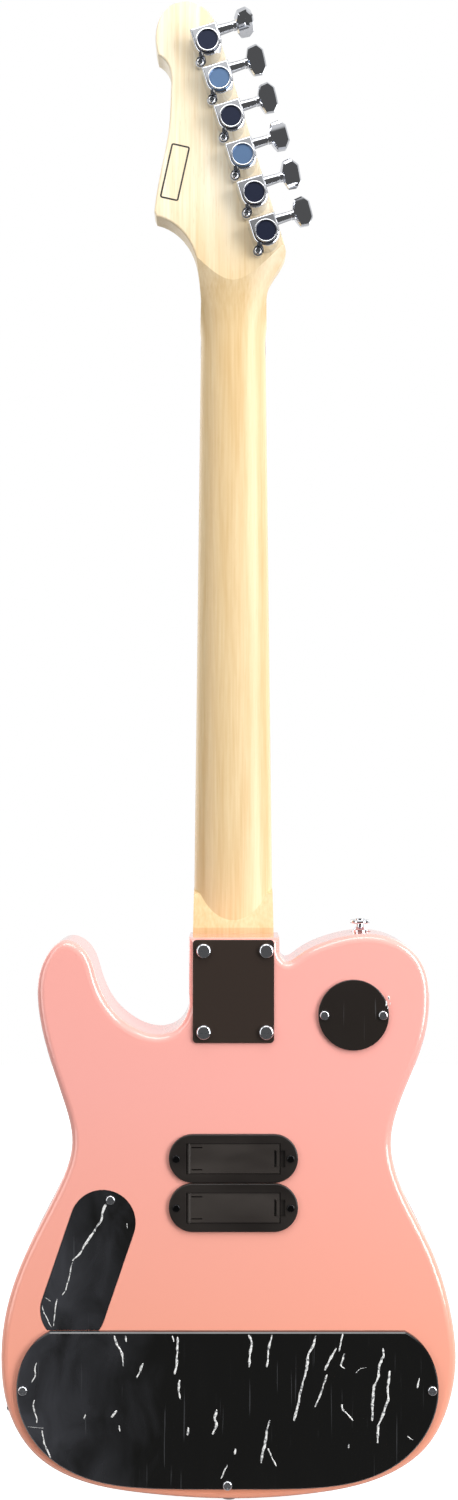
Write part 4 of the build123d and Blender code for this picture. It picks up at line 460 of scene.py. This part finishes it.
@dataclass(frozen=True)
class Circuit(Finish):
    """Fibreglass board with copper tracks under green solder mask."""

    track: str = "#3f8f4f"

    def dress(self, tree: bpy.types.NodeTree, shader: bpy.types.Node) -> None:
        """Adds the tracks, 1.2 mm apart, as a lighter green."""
        brick = add_node(tree, "ShaderNodeTexBrick",
                         {"Scale": per_mm(9.0), "Mortar Size": 0.03, "Color1": linear(self.colour),
                          "Color2": linear(self.colour), "Mortar": linear(self.track)},
                         {"Vector": self.place(tree)})
        tree.links.new(brick.outputs["Color"], shader.inputs["Base Color"])
        self.bump(tree, shader, brick.outputs["Fac"], 0.05, 0.5)


@dataclass(frozen=True)
class Winding(Finish):
    """A steel string: the windings show as rings along it."""

    pitch_mm: float = 0.8

    def dress(self, tree: bpy.types.NodeTree, shader: bpy.types.Node) -> None:
        """Adds the windings, drawn coarser than the real 0.3 mm wrap so that they show."""
        rings = add_node(tree, "ShaderNodeTexWave",
                         {"wave_type": "BANDS", "bands_direction": "Z", "Scale": per_mm(self.pitch_mm) / 20,
                          "Distortion": 0.0}, {"Vector": self.place(tree)})
        self.bump(tree, shader, rings.outputs["Fac"], 0.1, 0.5)
        tree.links.new(self.spread(tree, rings.outputs["Fac"], 0.2, 0.34), shader.inputs["Roughness"])


@dataclass(frozen=True)
class Pearl(Finish):
    """Pearl-like celluloid: soft drifting clouds."""

    cloud: str = "#c9c4bd"

    def dress(self, tree: bpy.types.NodeTree, shader: bpy.types.Node) -> None:
        """Adds the clouds and a clear polished coat."""
        drift = self.noise(tree, 5.0, 4.0, distortion=2.0)
        tree.links.new(self.ramp(tree, drift, [(0.4, self.cloud), (0.6, self.colour)]),
                       shader.inputs["Base Color"])
        shader.inputs["Coat Weight"].default_value = 0.5


class Finishes:
    """Every finish of the guitar, each made once and shared by its pieces."""

    def __init__(self) -> None:
        """Makes the materials."""
        listed = {
            # Polyester over a hardwood body: an even wet gloss that hides the wood.
            "pink_lacquer": Lacquer("pink_polyester", "#fcb0a6", Gloss.POLISHED, ior=1.52),
            # Hard maple, satin sealed: pale, with faint straight streaks and small pores, and painted light
            # whitening it towards the head.
            "maple": Wood("sealed_maple", "#ecd5aa", Gloss.SATIN, dark="#d8b681", pale="#fff6e2",
                          contrast=0.42, pore=0.3),
            # Oiled laurel: brown, open-pored and nearly matt.
            "dark_wood": Wood("oiled_laurel", "#6b4630", Gloss.MOULDED, dark="#2f1c12",
                              contrast=0.3, pore=0.9),
            # Bright chrome on cast zinc: a hard blue-white mirror.
            "chrome": Plate("chrome_plate", "#dfe1e6", Gloss.MIRROR, 1.0),
            # Tinted mirror discs let into the tuner backs; two carry a painted reflection.
            "smoked_chrome": Tinted("smoked_mirror_painted_reflection", "#2c3247", Gloss.POLISHED, 0.55),
            # Steel plate with a painted reflection: its brown-black base colour stands in for the dark room
            # that the chrome reflects, the same from every side, with a clear reflection on top.
            "black_mirror": Plate("plate_painted_dark_reflection", "#352c27", Gloss.POLISHED, 0.0, line_mm=0.9),
            "fret_wire": Plate("nickel_silver", "#c9c7bd", Gloss.POLISHED, 1.0),
            "saddle_steel": Plate("bright_steel", "#bfc0c0", Gloss.POLISHED, 1.0),
            "pot_steel": Plate("zinc_plate", "#a9a9a2", Gloss.SATIN, 1.0),
            "rod_steel": Plate("drawn_steel", "#8f8f8f", Gloss.SATIN, 1.0),
            "black_screw": Plate("blackened_steel", "#3a3a3c", Gloss.POLISHED, 1.0),
            "string_steel": Winding("string_steel", "#c4c3bd", Gloss.POLISHED, 1.0),
            # Black ABS sheet under its film.
            "filmed_black": Filmed("filmed_black_sheet", "#0c0c0b", Gloss.POLISHED),
            "cover_black": Filmed("gloss_black_sheet", "#231e1b", Gloss.POLISHED, haze="#3a332f", coat=0.3),
            # Moulded black ABS of the battery boxes and their doors.
            "box_black": Moulded("moulded_black_case", "#1e1a18", Gloss.SATIN, worn="#2e2926"),
            "door_black": Moulded("moulded_black_door", "#2b2623", Gloss.MOULDED, worn="#3b3531"),
            "pickup_black": Moulded("moulded_black_cover", "#1d1c1b", Gloss.SATIN),
            "knob_black": Moulded("turned_black_knob", "#191919", Gloss.SATIN, grain_mm=0.4),
            "terminal_board": Moulded("black_fibre_board", "#2a2a28", Gloss.MOULDED),
            "grille_black": Moulded("powder_coated_grille", "#1c1c1d", Gloss.MOULDED, grain_mm=0.5),
            "speaker_frame": Moulded("pressed_frame_and_paper", "#2a2b2d", Gloss.RAW, grain_mm=1.2),
            "battery_case": Moulded("battery_can", "#3a3b3f", Gloss.SATIN, grain_mm=0.9),
            "guard_white": Finish("gloss_white_sheet", "#f1f0ea", Gloss.POLISHED),
            "nut": Finish("bone_plastic", "#efe9da", Gloss.SATIN),
            "lever_tip": Finish("cream_tip", "#eadfc4", Gloss.SATIN),
            "marker": Pearl("pearl_marker", "#f3efe6", Gloss.POLISHED),
            "circuit_board": Circuit("green_circuit_board", "#1d5a2f", Gloss.SATIN),
        }
        self.made = {slot: finish.material() for slot, finish in listed.items()}
        self.made["film_wrinkle"] = LiftedFilm("lifted_film_painted_highlight", "#f4f4f2", Gloss.POLISHED).material()

    def of(self, slot: str) -> bpy.types.Material:
        """The material of a finish by its slot's name."""
        return self.made[slot]


# ---------------------------------------------------------------- modelling by operator
def deselect() -> None:
    """Leaves object mode with nothing selected."""
    if bpy.context.object and bpy.context.object.mode != "OBJECT":
        bpy.ops.object.mode_set(mode="OBJECT")
    bpy.ops.object.select_all(action="DESELECT")


def edit(mode: str = "EDGE") -> None:
    """Enters edit mode on the active object with nothing selected.

    Args:
        mode: "VERT", "EDGE" or "FACE".
    """
    bpy.ops.object.mode_set(mode="EDIT")
    bpy.ops.mesh.select_mode(type=mode)
    bpy.ops.mesh.select_all(action="DESELECT")


def apply_modifier(piece: bpy.types.Object, kind: str, **settings: object) -> None:
    """Adds a modifier with its settings and applies it.

    Args:
        piece: The object to change, made active.
        kind: The modifier's type name.
        settings: The modifier's property values.
    """
    bpy.context.view_layer.objects.active = piece
    modifier = piece.modifiers.new(kind.title(), kind)
    for name, value in settings.items():
        setattr(modifier, name, value)
    bpy.ops.object.modifier_apply(modifier=modifier.name)


def settle(piece: bpy.types.Object, name: str, material: bpy.types.Material, body: str = "guitar",
           angle: float = 40.0) -> bpy.types.Object:
    """Applies a new piece's place, shades it, dresses it and lets it ride.

    Args:
        piece: The object.
        name: Its name in the model.
        material: Its finish.
        body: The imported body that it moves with.
        angle: Edges sharper than this stay sharp, in degrees.

    Returns:
        The same object.
    """
    deselect()
    piece.select_set(True)
    bpy.context.view_layer.objects.active = piece
    bpy.ops.object.transform_apply(location=True, rotation=True, scale=True)
    bpy.ops.object.shade_smooth_by_angle(angle=math.radians(angle))
    piece.name = name
    piece.data.name = name
    piece.data.materials.clear()
    piece.data.materials.append(material)
    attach(piece, body)
    LOG.info("made %s: %d faces, rides %s", name, len(piece.data.polygons), body)
    return piece


def join(pieces: Sequence[bpy.types.Object]) -> bpy.types.Object:
    """Joins several objects into the first.

    Args:
        pieces: The objects.

    Returns:
        The one object that is left.
    """
    deselect()
    for piece in pieces:
        piece.select_set(True)
    bpy.context.view_layer.objects.active = pieces[0]
    bpy.ops.object.join()
    return pieces[0]


# ---------------------------------------------------------------- sub-assemblies
@dataclass
class SubAssembly:
    """Pieces of the guitar that are made and dressed together."""

    finishes: Finishes
    nodes: tuple[str, ...] = ()

    def dress(self) -> None:
        """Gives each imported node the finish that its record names."""
        slots = {row["node"]: row["material_slot"] for row in frame["record"]["subparts"]}
        for name in self.nodes:
            material = self.finishes.of(slots[name])
            for slot in frame["nodes"][name].material_slots:
                slot.material = material
            LOG.info("dressed %s in %s", name, material.name)

    def build(self) -> None:
        """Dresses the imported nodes; a sub-assembly with pieces of its own adds them here."""
        self.dress()


@dataclass
class Wrinkle:
    """One raised crease or blister of the covers' film."""

    width_mm: float
    path: Sequence[Point]
    sway_mm: float = 0.25
    bead: tuple[float, float] = (0.6, 1.7)
    tail: float = 0.8

    def stations(self, step_mm: float, draw: random.Random) -> list[tuple[Vector, float]]:
        """Points along the crease with a beaded width at each.

        Args:
            step_mm: The spacing of the points.
            draw: The seeded source of the beads.

        Returns:
            Each station's place in metres and its half width.
        """
        places = [Vector((x, 0.0, z)) for x, z in self.path]
        found: list[tuple[Vector, float]] = []
        for start, end in zip(places, places[1:]):
            count = max(1, round((end - start).length / step_mm))
            for n in range(count):
                sway = Vector((draw.uniform(-self.sway_mm, self.sway_mm), 0.0, 0.0))
                found.append((start.lerp(end, n / count) + sway, draw.uniform(*self.bead)))
        found.append((places[-1], self.tail))
        return [(place * MM, self.width_mm / 2 * swell * MM) for place, swell in found]


@dataclass
class CoverFilm:
    """The clear film left on a cover: creases and blisters that stand off the sheet."""

    name: str
    face_mm: float
    wrinkles: Sequence[Wrinkle]
    sides: int = 8
    step_mm: float = 1.6
    flatness: float = 0.45
    seed: int = 11

    def crease(self, wrinkle: Wrinkle, draw: random.Random) -> bpy.types.Object:
        """Models one crease: a ring extruded from station to station and closed at both ends.

        Args:
            wrinkle: The crease's path and width.
            draw: The seeded source of its beads.

        Returns:
            The crease's mesh object.
        """
        stations = wrinkle.stations(self.step_mm, draw)
        height = self.face_mm * MM
        first, radius = stations[0]
        deselect()
        bpy.ops.mesh.primitive_circle_add(vertices=self.sides, radius=radius * 0.5, fill_type="NGON",
                                          location=(first.x, height, first.z))
        piece = bpy.context.object
        bpy.ops.object.mode_set(mode="EDIT")
        bpy.ops.mesh.select_mode(type="FACE")
        last, last_radius = first, radius * 0.5
        for place, radius in stations[1:] + [(stations[-1][0], stations[-1][1] * 0.3)]:
            move = place - last
            if move.length < 1e-9:
                move = Vector((0.0, 0.0, -radius))
            bpy.ops.mesh.extrude_region_move(TRANSFORM_OT_translate={"value": move})
            bpy.ops.transform.resize(value=(radius / last_radius,) * 3,
                                     center_override=(last.x + move.x, height, last.z + move.z))
            last, last_radius = last + move, radius
        bpy.ops.mesh.select_all(action="SELECT")
        bpy.ops.mesh.normals_make_consistent(inside=False)
        bpy.ops.transform.resize(value=(1.0, self.flatness, 1.0), center_override=(0.0, height, 0.0))
        bpy.ops.object.mode_set(mode="OBJECT")
        return piece

    def build(self, material: bpy.types.Material) -> bpy.types.Object:
        """Models every crease of the cover and joins them.

        Args:
            material: The film's finish.

        Returns:
            The joined piece.
        """
        draw = random.Random(self.seed)
        piece = join([self.crease(wrinkle, draw) for wrinkle in self.wrinkles])
        apply_modifier(piece, "SUBSURF", levels=1, render_levels=1)
        return settle(piece, self.name, material, angle=180.0)


@dataclass
class Body(SubAssembly):
    """The lacquered body with its covers, neck plate and their screws."""

    nodes: tuple[str, ...] = ("body", "neck_plate", "neck_screws", "switch_cover", "control_cover",
                              "electronics_cover", "cover_screws", "fixing_screws")
    main_face_mm: float = 51.2
    control_face_mm: float = 48.0
    main_wrinkles: Sequence[Wrinkle] = field(default_factory=lambda: [Wrinkle(w, p) for w, p in (
        (1.3, [(76.0, -676.9), (74.4, -683.0), (71.0, -687.7), (70.3, -696.4)]),
        (0.9, [(69.0, -676.9), (68.3, -681.0)]),
        (1.3, [(57.6, -694.4), (58.9, -698.4), (61.6, -703.8)]),
        (0.8, [(38.8, -676.9), (38.1, -681.0)]),
        (1.3, [(35.5, -677.6), (35.9, -688.3), (36.4, -696.4), (37.5, -701.7)]),
        (1.2, [(34.4, -705.1), (35.1, -711.1), (34.1, -717.2)]),
        (0.7, [(125.6, -694.0), (126.7, -699.1), (126.0, -702.4), (128.7, -707.1)]),
        (0.8, [(126.7, -717.8), (128.0, -721.9), (125.4, -729.9), (125.4, -732.6)]),
        (1.2, [(131.4, -735.0), (126.0, -735.6), (121.3, -736.0)]),
        (0.8, [(122.0, -737.3), (120.7, -746.0), (116.6, -754.7)]),
        (1.4, [(74.4, -724.6), (77.7, -729.3)]),
        (0.8, [(94.1, -727.2), (95.4, -730.2)]),
        (1.4, [(10.6, -723.9), (12.0, -729.9), (10.6, -733.3), (13.3, -740.0)]),
        (1.5, [(28.7, -735.3), (29.4, -740.4)]),
        (0.7, [(73.0, -734.0), (72.4, -738.0)]),
        (0.8, [(3.9, -759.4), (8.0, -768.2)]),
        (1.4, [(-9.9, -676.3), (-11.7, -681.6), (-10.6, -688.3), (-9.9, -697.1)]),
        (1.2, [(-24.7, -676.3), (-22.0, -687.0), (-22.0, -692.4), (-21.3, -697.1)]),
        (1.3, [(-52.6, -676.9), (-50.8, -683.6), (-47.5, -689.7), (-46.8, -697.7),
               (-42.8, -712.5), (-41.4, -720.5), (-38.5, -731.3)]),
        (1.5, [(-65.6, -685.0), (-62.2, -691.0), (-58.2, -699.1)]),
        (1.1, [(-59.6, -701.7), (-56.2, -712.5), (-51.9, -722.5)]),
        (0.9, [(-69.6, -675.6), (-68.3, -683.0), (-67.2, -687.0)]),
        (1.2, [(-70.7, -688.3), (-68.3, -696.4), (-70.7, -698.0)]),
        (0.7, [(-77.7, -701.1), (-81.0, -698.0), (-85.4, -697.3)]),
        (1.4, [(-95.1, -685.0), (-95.8, -689.7), (-92.7, -696.4), (-92.4, -703.1),
               (-89.5, -709.8), (-88.7, -720.5), (-88.4, -731.3)]),
        (1.4, [(-99.5, -699.1), (-99.1, -705.8), (-98.1, -712.5), (-98.7, -717.8),
               (-95.8, -725.9), (-92.4, -734.0), (-91.8, -740.7), (-91.8, -745.4)]),
        (1.0, [(-68.9, -720.5), (-69.6, -724.6), (-73.0, -727.2), (-76.3, -731.3)]),
        (1.4, [(-23.3, -730.6), (-21.3, -736.6), (-20.6, -744.7), (-18.6, -751.4), (-17.6, -758.1)]),
        (0.9, [(-22.0, -748.7), (-24.7, -755.4), (-27.3, -760.1)]),
        (1.2, [(-1.2, -748.7), (-0.9, -752.7)]),
        (1.0, [(-73.4, -746.0), (-73.4, -748.7)]),
        (0.9, [(-118.6, -703.8), (-117.2, -710.5)]),
        (0.7, [(-110.5, -740.9), (-114.2, -743.6)]),
    )])
    control_wrinkles: Sequence[Wrinkle] = field(default_factory=lambda: [Wrinkle(w, p) for w, p in (
        (1.4, [(81.4, -594.0), (83.4, -598.1), (84.3, -604.1), (90.1, -612.9),
               (95.5, -621.0), (98.2, -625.7), (102.9, -630.4)]),
        (0.6, [(102.9, -631.1), (105.6, -642.5), (107.6, -649.9), (109.7, -652.6)]),
        (0.6, [(113.0, -654.6), (114.1, -661.4), (115.1, -672.2)]),
        (0.5, [(120.8, -653.7), (117.1, -656.3)]),
        (0.5, [(122.5, -658.7), (121.1, -664.1), (116.4, -672.8)]),
        (0.6, [(68.2, -606.2), (67.9, -609.5)]),
    )])

    switch_face_mm: float = 50.0
    # Creases by the round cover's screw, as widths and places from the cover's centre.
    switch_wrinkles: Sequence[tuple[float, Sequence[Point]]] = (
        (1.4, ((-22.0, 12.5), (-22.6, 10.0))), (1.1, ((-20.6, 9.6), (-20.9, 7.4), (-20.4, 6.0))),
        (0.9, ((-23.4, 8.4), (-23.0, 6.6))), (1.0, ((-22.2, 5.6), (-21.6, 4.2))))

    def switch_film(self) -> CoverFilm:
        """The few creases lifted beside the round cover's screw."""
        low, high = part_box("switch_cover")
        centre = (low + high) / 2 / MM
        rows = [Wrinkle(width, [(centre.x + x, centre.z + z) for x, z in path])
                for width, path in self.switch_wrinkles]
        return CoverFilm("switch_cover_film", self.switch_face_mm, rows, seed=3)

    def build(self) -> None:
        """Dresses the body and adds the lifted film on its three filmed covers."""
        self.dress()
        film = self.finishes.of("film_wrinkle")
        CoverFilm("main_cover_film", self.main_face_mm, self.main_wrinkles).build(film)
        CoverFilm("control_cover_film", self.control_face_mm, self.control_wrinkles, seed=5).build(film)
        self.switch_film().build(film)


@dataclass
class Neck(SubAssembly):
    """The maple neck, its board, frets, markers, nut and rod, and a blank label on the headstock."""

    nodes: tuple[str, ...] = ("neck", "fretboard", "frets", "fret_markers", "nut", "truss_rod")
    label_centre_mm: Point = (38.6, 79.8)
    label_size_mm: Point = (12.6, 37.0)
    label_turn: float = -12.6
    line_mm: float = 1.1
    corner_mm: float = 1.6
    proud_mm: float = 0.06

    def label_line(self) -> bpy.types.Object:
        """Models the label's printed border: a rounded frame, inset and raised a hair.

        Returns:
            The border's object.
        """
        back = max(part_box("neck")[1].y, 0.0)
        deselect()
        x, z = self.label_centre_mm
        bpy.ops.mesh.primitive_plane_add(size=1.0, location=(x * MM, back, z * MM),
                                         rotation=(-math.pi / 2, 0.0, 0.0))
        piece = bpy.context.object
        piece.scale = (self.label_size_mm[0] * MM, self.label_size_mm[1] * MM, 1.0)
        bpy.ops.object.transform_apply(location=False, rotation=False, scale=True)
        edit("VERT")
        bpy.ops.mesh.select_all(action="SELECT")
        bpy.ops.mesh.bevel(offset=self.corner_mm * MM, segments=5, affect="VERTICES")
        bpy.ops.mesh.select_mode(type="FACE")
        bpy.ops.mesh.select_all(action="SELECT")
        bpy.ops.mesh.inset(thickness=self.line_mm * MM)
        bpy.ops.mesh.delete(type="FACE")
        bpy.ops.mesh.select_all(action="SELECT")
        bpy.ops.object.mode_set(mode="OBJECT")
        piece.rotation_euler.rotate_axis("Z", math.radians(self.label_turn))
        apply_modifier(piece, "SOLIDIFY", thickness=self.proud_mm * MM, offset=1.0)
        return piece

    def build(self) -> None:
        """Dresses the neck and adds the blank label's border."""
        self.dress()
        settle(self.label_line(), "blank_label", self.finishes.of("knob_black"))


@dataclass
class Tuners(SubAssembly):
    """Six die-cast tuners in line, with the chrome rims round their tinted discs."""

    nodes: tuple[str, ...] = ("tuner_housings", "tuner_caps", "tuner_screws", "tuner_washers",
                              "tuner_bushings") \
        + tuple(f"tuner_key_{n}" for n in range(1, 7)) + tuple(f"string_post_{n}" for n in range(1, 7))
    rim_radius_mm: float = 7.6
    rim_width_mm: float = 1.0
    rim_height_mm: float = 0.5

    def rim(self, centre: Vector, back: float) -> bpy.types.Object:
        """Models one rim: a disc inset, its middle removed, its ring raised and rounded.

        Args:
            centre: The disc's centre.
            back: The disc's rear face.

        Returns:
            The rim's object.
        """
        deselect()
        bpy.ops.mesh.primitive_circle_add(vertices=48, radius=self.rim_radius_mm * MM, fill_type="NGON",
                                          location=(centre.x, back, centre.z),
                                          rotation=(-math.pi / 2, 0.0, 0.0))
        piece = bpy.context.object
        bpy.ops.object.mode_set(mode="EDIT")
        bpy.ops.mesh.select_mode(type="FACE")
        bpy.ops.mesh.select_all(action="SELECT")
        bpy.ops.mesh.inset(thickness=self.rim_width_mm * MM)
        bpy.ops.mesh.delete(type="FACE")
        bpy.ops.object.mode_set(mode="OBJECT")
        apply_modifier(piece, "SOLIDIFY", thickness=self.rim_height_mm * MM, offset=1.0)
        apply_modifier(piece, "BEVEL", width=0.2 * MM, segments=2, limit_method="ANGLE")
        return piece

    def build(self) -> None:
        """Dresses the tuners and adds the six rims."""
        self.dress()
        low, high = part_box("tuner_caps")
        rims = []
        for n in range(1, 7):
            post_low, post_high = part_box(f"string_post_{n}")
            rims.append(self.rim((post_low + post_high) / 2, high.y))
        settle(join(rims), "tuner_cap_rims", self.finishes.of("chrome"))


@dataclass
class BatteryBoxes(SubAssembly):
    """Two nine-volt boxes with their doors, cells, snap boards and black screws."""

    nodes: tuple[str, ...] = ("battery_boxes", "battery_door_upper", "battery_door_lower", "batteries",
                              "battery_terminals", "battery_box_screws")


@dataclass
class Strings(SubAssembly):
    """The strings, their trees and the hardtail bridge."""

    nodes: tuple[str, ...] = ("strings", "string_trees", "bridge_plate", "bridge_screws", "saddles",
                              "saddle_screws")


@dataclass
class Pickups(SubAssembly):
    """The pickguard and two single-coil pickups."""

    nodes: tuple[str, ...] = ("pickguard", "pickup_covers", "pickup_poles", "pickup_ring")


@dataclass
class Controls(SubAssembly):
    """The selector switch, the pots, their knobs and the jack."""

    nodes: tuple[str, ...] = ("toggle_switch", "toggle_lever", "pots", "volume_knob", "tone_knob", "amp_knob",
                              "output_jack", "jack_plate")


@dataclass
class Amplifier(SubAssembly):
    """The amplifier board with its two small speakers behind pressed grilles."""

    nodes: tuple[str, ...] = ("amp_board", "speakers", "speaker_grilles")


@dataclass
class Straps(SubAssembly):
    """The strap buttons and their screws."""

    nodes: tuple[str, ...] = ("strap_buttons", "strap_screws")


# ---------------------------------------------------------------- studio
@dataclass
class Softbox:
    """A soft rectangular light."""

    name: str
    place: tuple[float, float, float]
    aim: tuple[float, float, float]
    size: tuple[float, float]
    watts: float
    colour: str = "#ffffff"

    def light(self) -> None:
        """Hangs the light."""
        data = bpy.data.lights.new(self.name, "AREA")
        data.shape = "RECTANGLE"
        data.size, data.size_y = self.size
        data.energy = self.watts
        data.color = linear(self.colour)[:3]
        lamp = bpy.data.objects.new(self.name, data)
        bpy.context.scene.collection.objects.link(lamp)
        lamp.location = self.place
        lamp.rotation_euler = (Vector(self.aim) - Vector(self.place)).to_track_quat("-Z", "Y").to_euler()


@dataclass
class Studio:
    """The camera, a plain pale floor and soft light all round."""

    camera_place: tuple[float, float, float] = (2.84 * MM, 878 * MM, -344 * MM)
    lens: float = 31.14
    sensor: float = 36.0
    shift_up: float = 0.042
    room_light: float = 0.10
    overhead_light: float = 0.75
    backdrop_light: float = 0.85
    low_backdrop_light: float = 0.12
    # Where each zone of the room starts and is full, as parts of a sight line's unit length.
    before_edge: tuple[float, float] = (0.05, -0.25)
    ceiling_edge: tuple[float, float] = (0.38, 0.50)
    low_edge: tuple[float, float] = (-0.1, -0.4)
    floor_size: tuple[float, float] = (2.4, 1.5)
    floor_edge_mm: float = 70.0
    floor_gap_mm: float = 1.0
    floor_glow: float = 0.9
    softboxes: Sequence[Softbox] = (
        Softbox("left_softbox", (1.25, 0.95, -0.25), (0.0, 0.0, -0.45), (0.7, 1.7), 8.0),
        Softbox("right_softbox", (-1.25, 0.95, -0.15), (0.0, 0.0, -0.45), (0.7, 1.7), 30.0),
        Softbox("top_softbox", (0.0, 0.75, 1.05), (0.0, 0.0, -0.1), (1.4, 0.6), 11.0),
        Softbox("front_left_softbox", (1.2, -1.2, 0.1), (0.0, 0.0, -0.4), (0.9, 1.6), 6.0),
        Softbox("front_right_softbox", (-1.2, -1.2, 0.1), (0.0, 0.0, -0.4), (0.9, 1.6), 6.0),
    )

    def camera(self) -> None:
        """Sets the camera square to the back, with its frame raised a little."""
        data = bpy.data.cameras.new("camera")
        data.lens = self.lens
        data.sensor_width = self.sensor
        data.shift_y = self.shift_up
        camera = bpy.data.objects.new("camera", data)
        bpy.context.scene.collection.objects.link(camera)
        camera.location = self.camera_place
        camera.rotation_euler = (math.pi / 2, 0.0, math.pi)
        bpy.context.scene.camera = camera

    def floor(self) -> None:
        """Lays a plain white floor just under the guitar and away behind it, softly lit from within."""
        deselect()
        low, width, depth = Vector(CAD_BOX[0]), *self.floor_size
        bpy.ops.mesh.primitive_plane_add(
            size=1.0, location=(0.0, self.floor_edge_mm * MM - depth / 2, low.z - self.floor_gap_mm * MM))
        plane = bpy.context.object
        plane.scale = (width, depth, 1.0)
        plane.name = "floor"
        material = bpy.data.materials.new("white_floor")
        material.use_nodes = True
        shader = material.node_tree.nodes["Principled BSDF"]
        shader.inputs["Base Color"].default_value = linear("#b4b4b4")
        shader.inputs["Roughness"].default_value = 0.9
        shader.inputs["Emission Color"].default_value = linear("#ffffff")
        # The glow is for the eye alone, so that it doesn't light the guitar from below.
        sight = add_node(material.node_tree, "ShaderNodeLightPath")
        glow = add_node(material.node_tree, "ShaderNodeMath", {"operation": "MULTIPLY", 1: self.floor_glow},
                        {0: sight.outputs["Is Camera Ray"]})
        material.node_tree.links.new(glow.outputs[0], shader.inputs["Emission Strength"])
        plane.data.materials.append(material)

    def room(self) -> None:
        """White to the eye; to reflections a white backdrop, a bright ceiling panel and a dim room."""
        world = bpy.data.worlds.new("room")
        world.use_nodes = True
        tree = world.node_tree
        sight = add_node(tree, "ShaderNodeLightPath")
        towards = add_node(tree, "ShaderNodeSeparateXYZ",
                           links={"Vector": add_node(tree, "ShaderNodeTexCoord").outputs["Generated"]})
        before, ceiling, backdrop = (
            add_node(tree, "ShaderNodeMapRange",
                     {"From Min": edge[0], "From Max": edge[1], "To Min": low, "To Max": high},
                     {"Value": towards.outputs[axis]})
            for axis, edge, low, high in (
                ("Y", self.before_edge, 0.0, 1.0),
                ("Z", self.ceiling_edge, self.room_light, self.overhead_light),
                ("Z", self.low_edge, self.backdrop_light, self.low_backdrop_light)))
        level = add_node(tree, "ShaderNodeMix")
        for socket, source in ((0, before), (2, ceiling), (3, backdrop)):
            tree.links.new(source.outputs["Result"], level.inputs[socket])
        colour = add_node(tree, "ShaderNodeMix", {"data_type": "RGBA"})
        tree.links.new(sight.outputs["Is Camera Ray"], colour.inputs[0])
        tree.links.new(level.outputs[0], colour.inputs[6])
        colour.inputs[7].default_value = (1.0, 1.0, 1.0, 1.0)
        tree.links.new(colour.outputs[2], tree.nodes["Background"].inputs["Color"])
        bpy.context.scene.world = world
        bpy.context.scene.view_settings.view_transform = "Standard"

    def build(self) -> None:
        """Sets up the studio, camera first."""
        self.camera()
        self.room()
        self.floor()
        for box in self.softboxes:
            box.light()


def main() -> None:
    """Builds the studio and every sub-assembly in order."""
    logging.basicConfig(level=logging.INFO, format="%(name)s: %(message)s")
    Studio().build()
    finishes = Finishes()
    for kind in (Body, Neck, Tuners, BatteryBoxes, Strings, Pickups, Controls, Amplifier, Straps):
        kind(finishes).build()


if __name__ == "__main__":
    main()
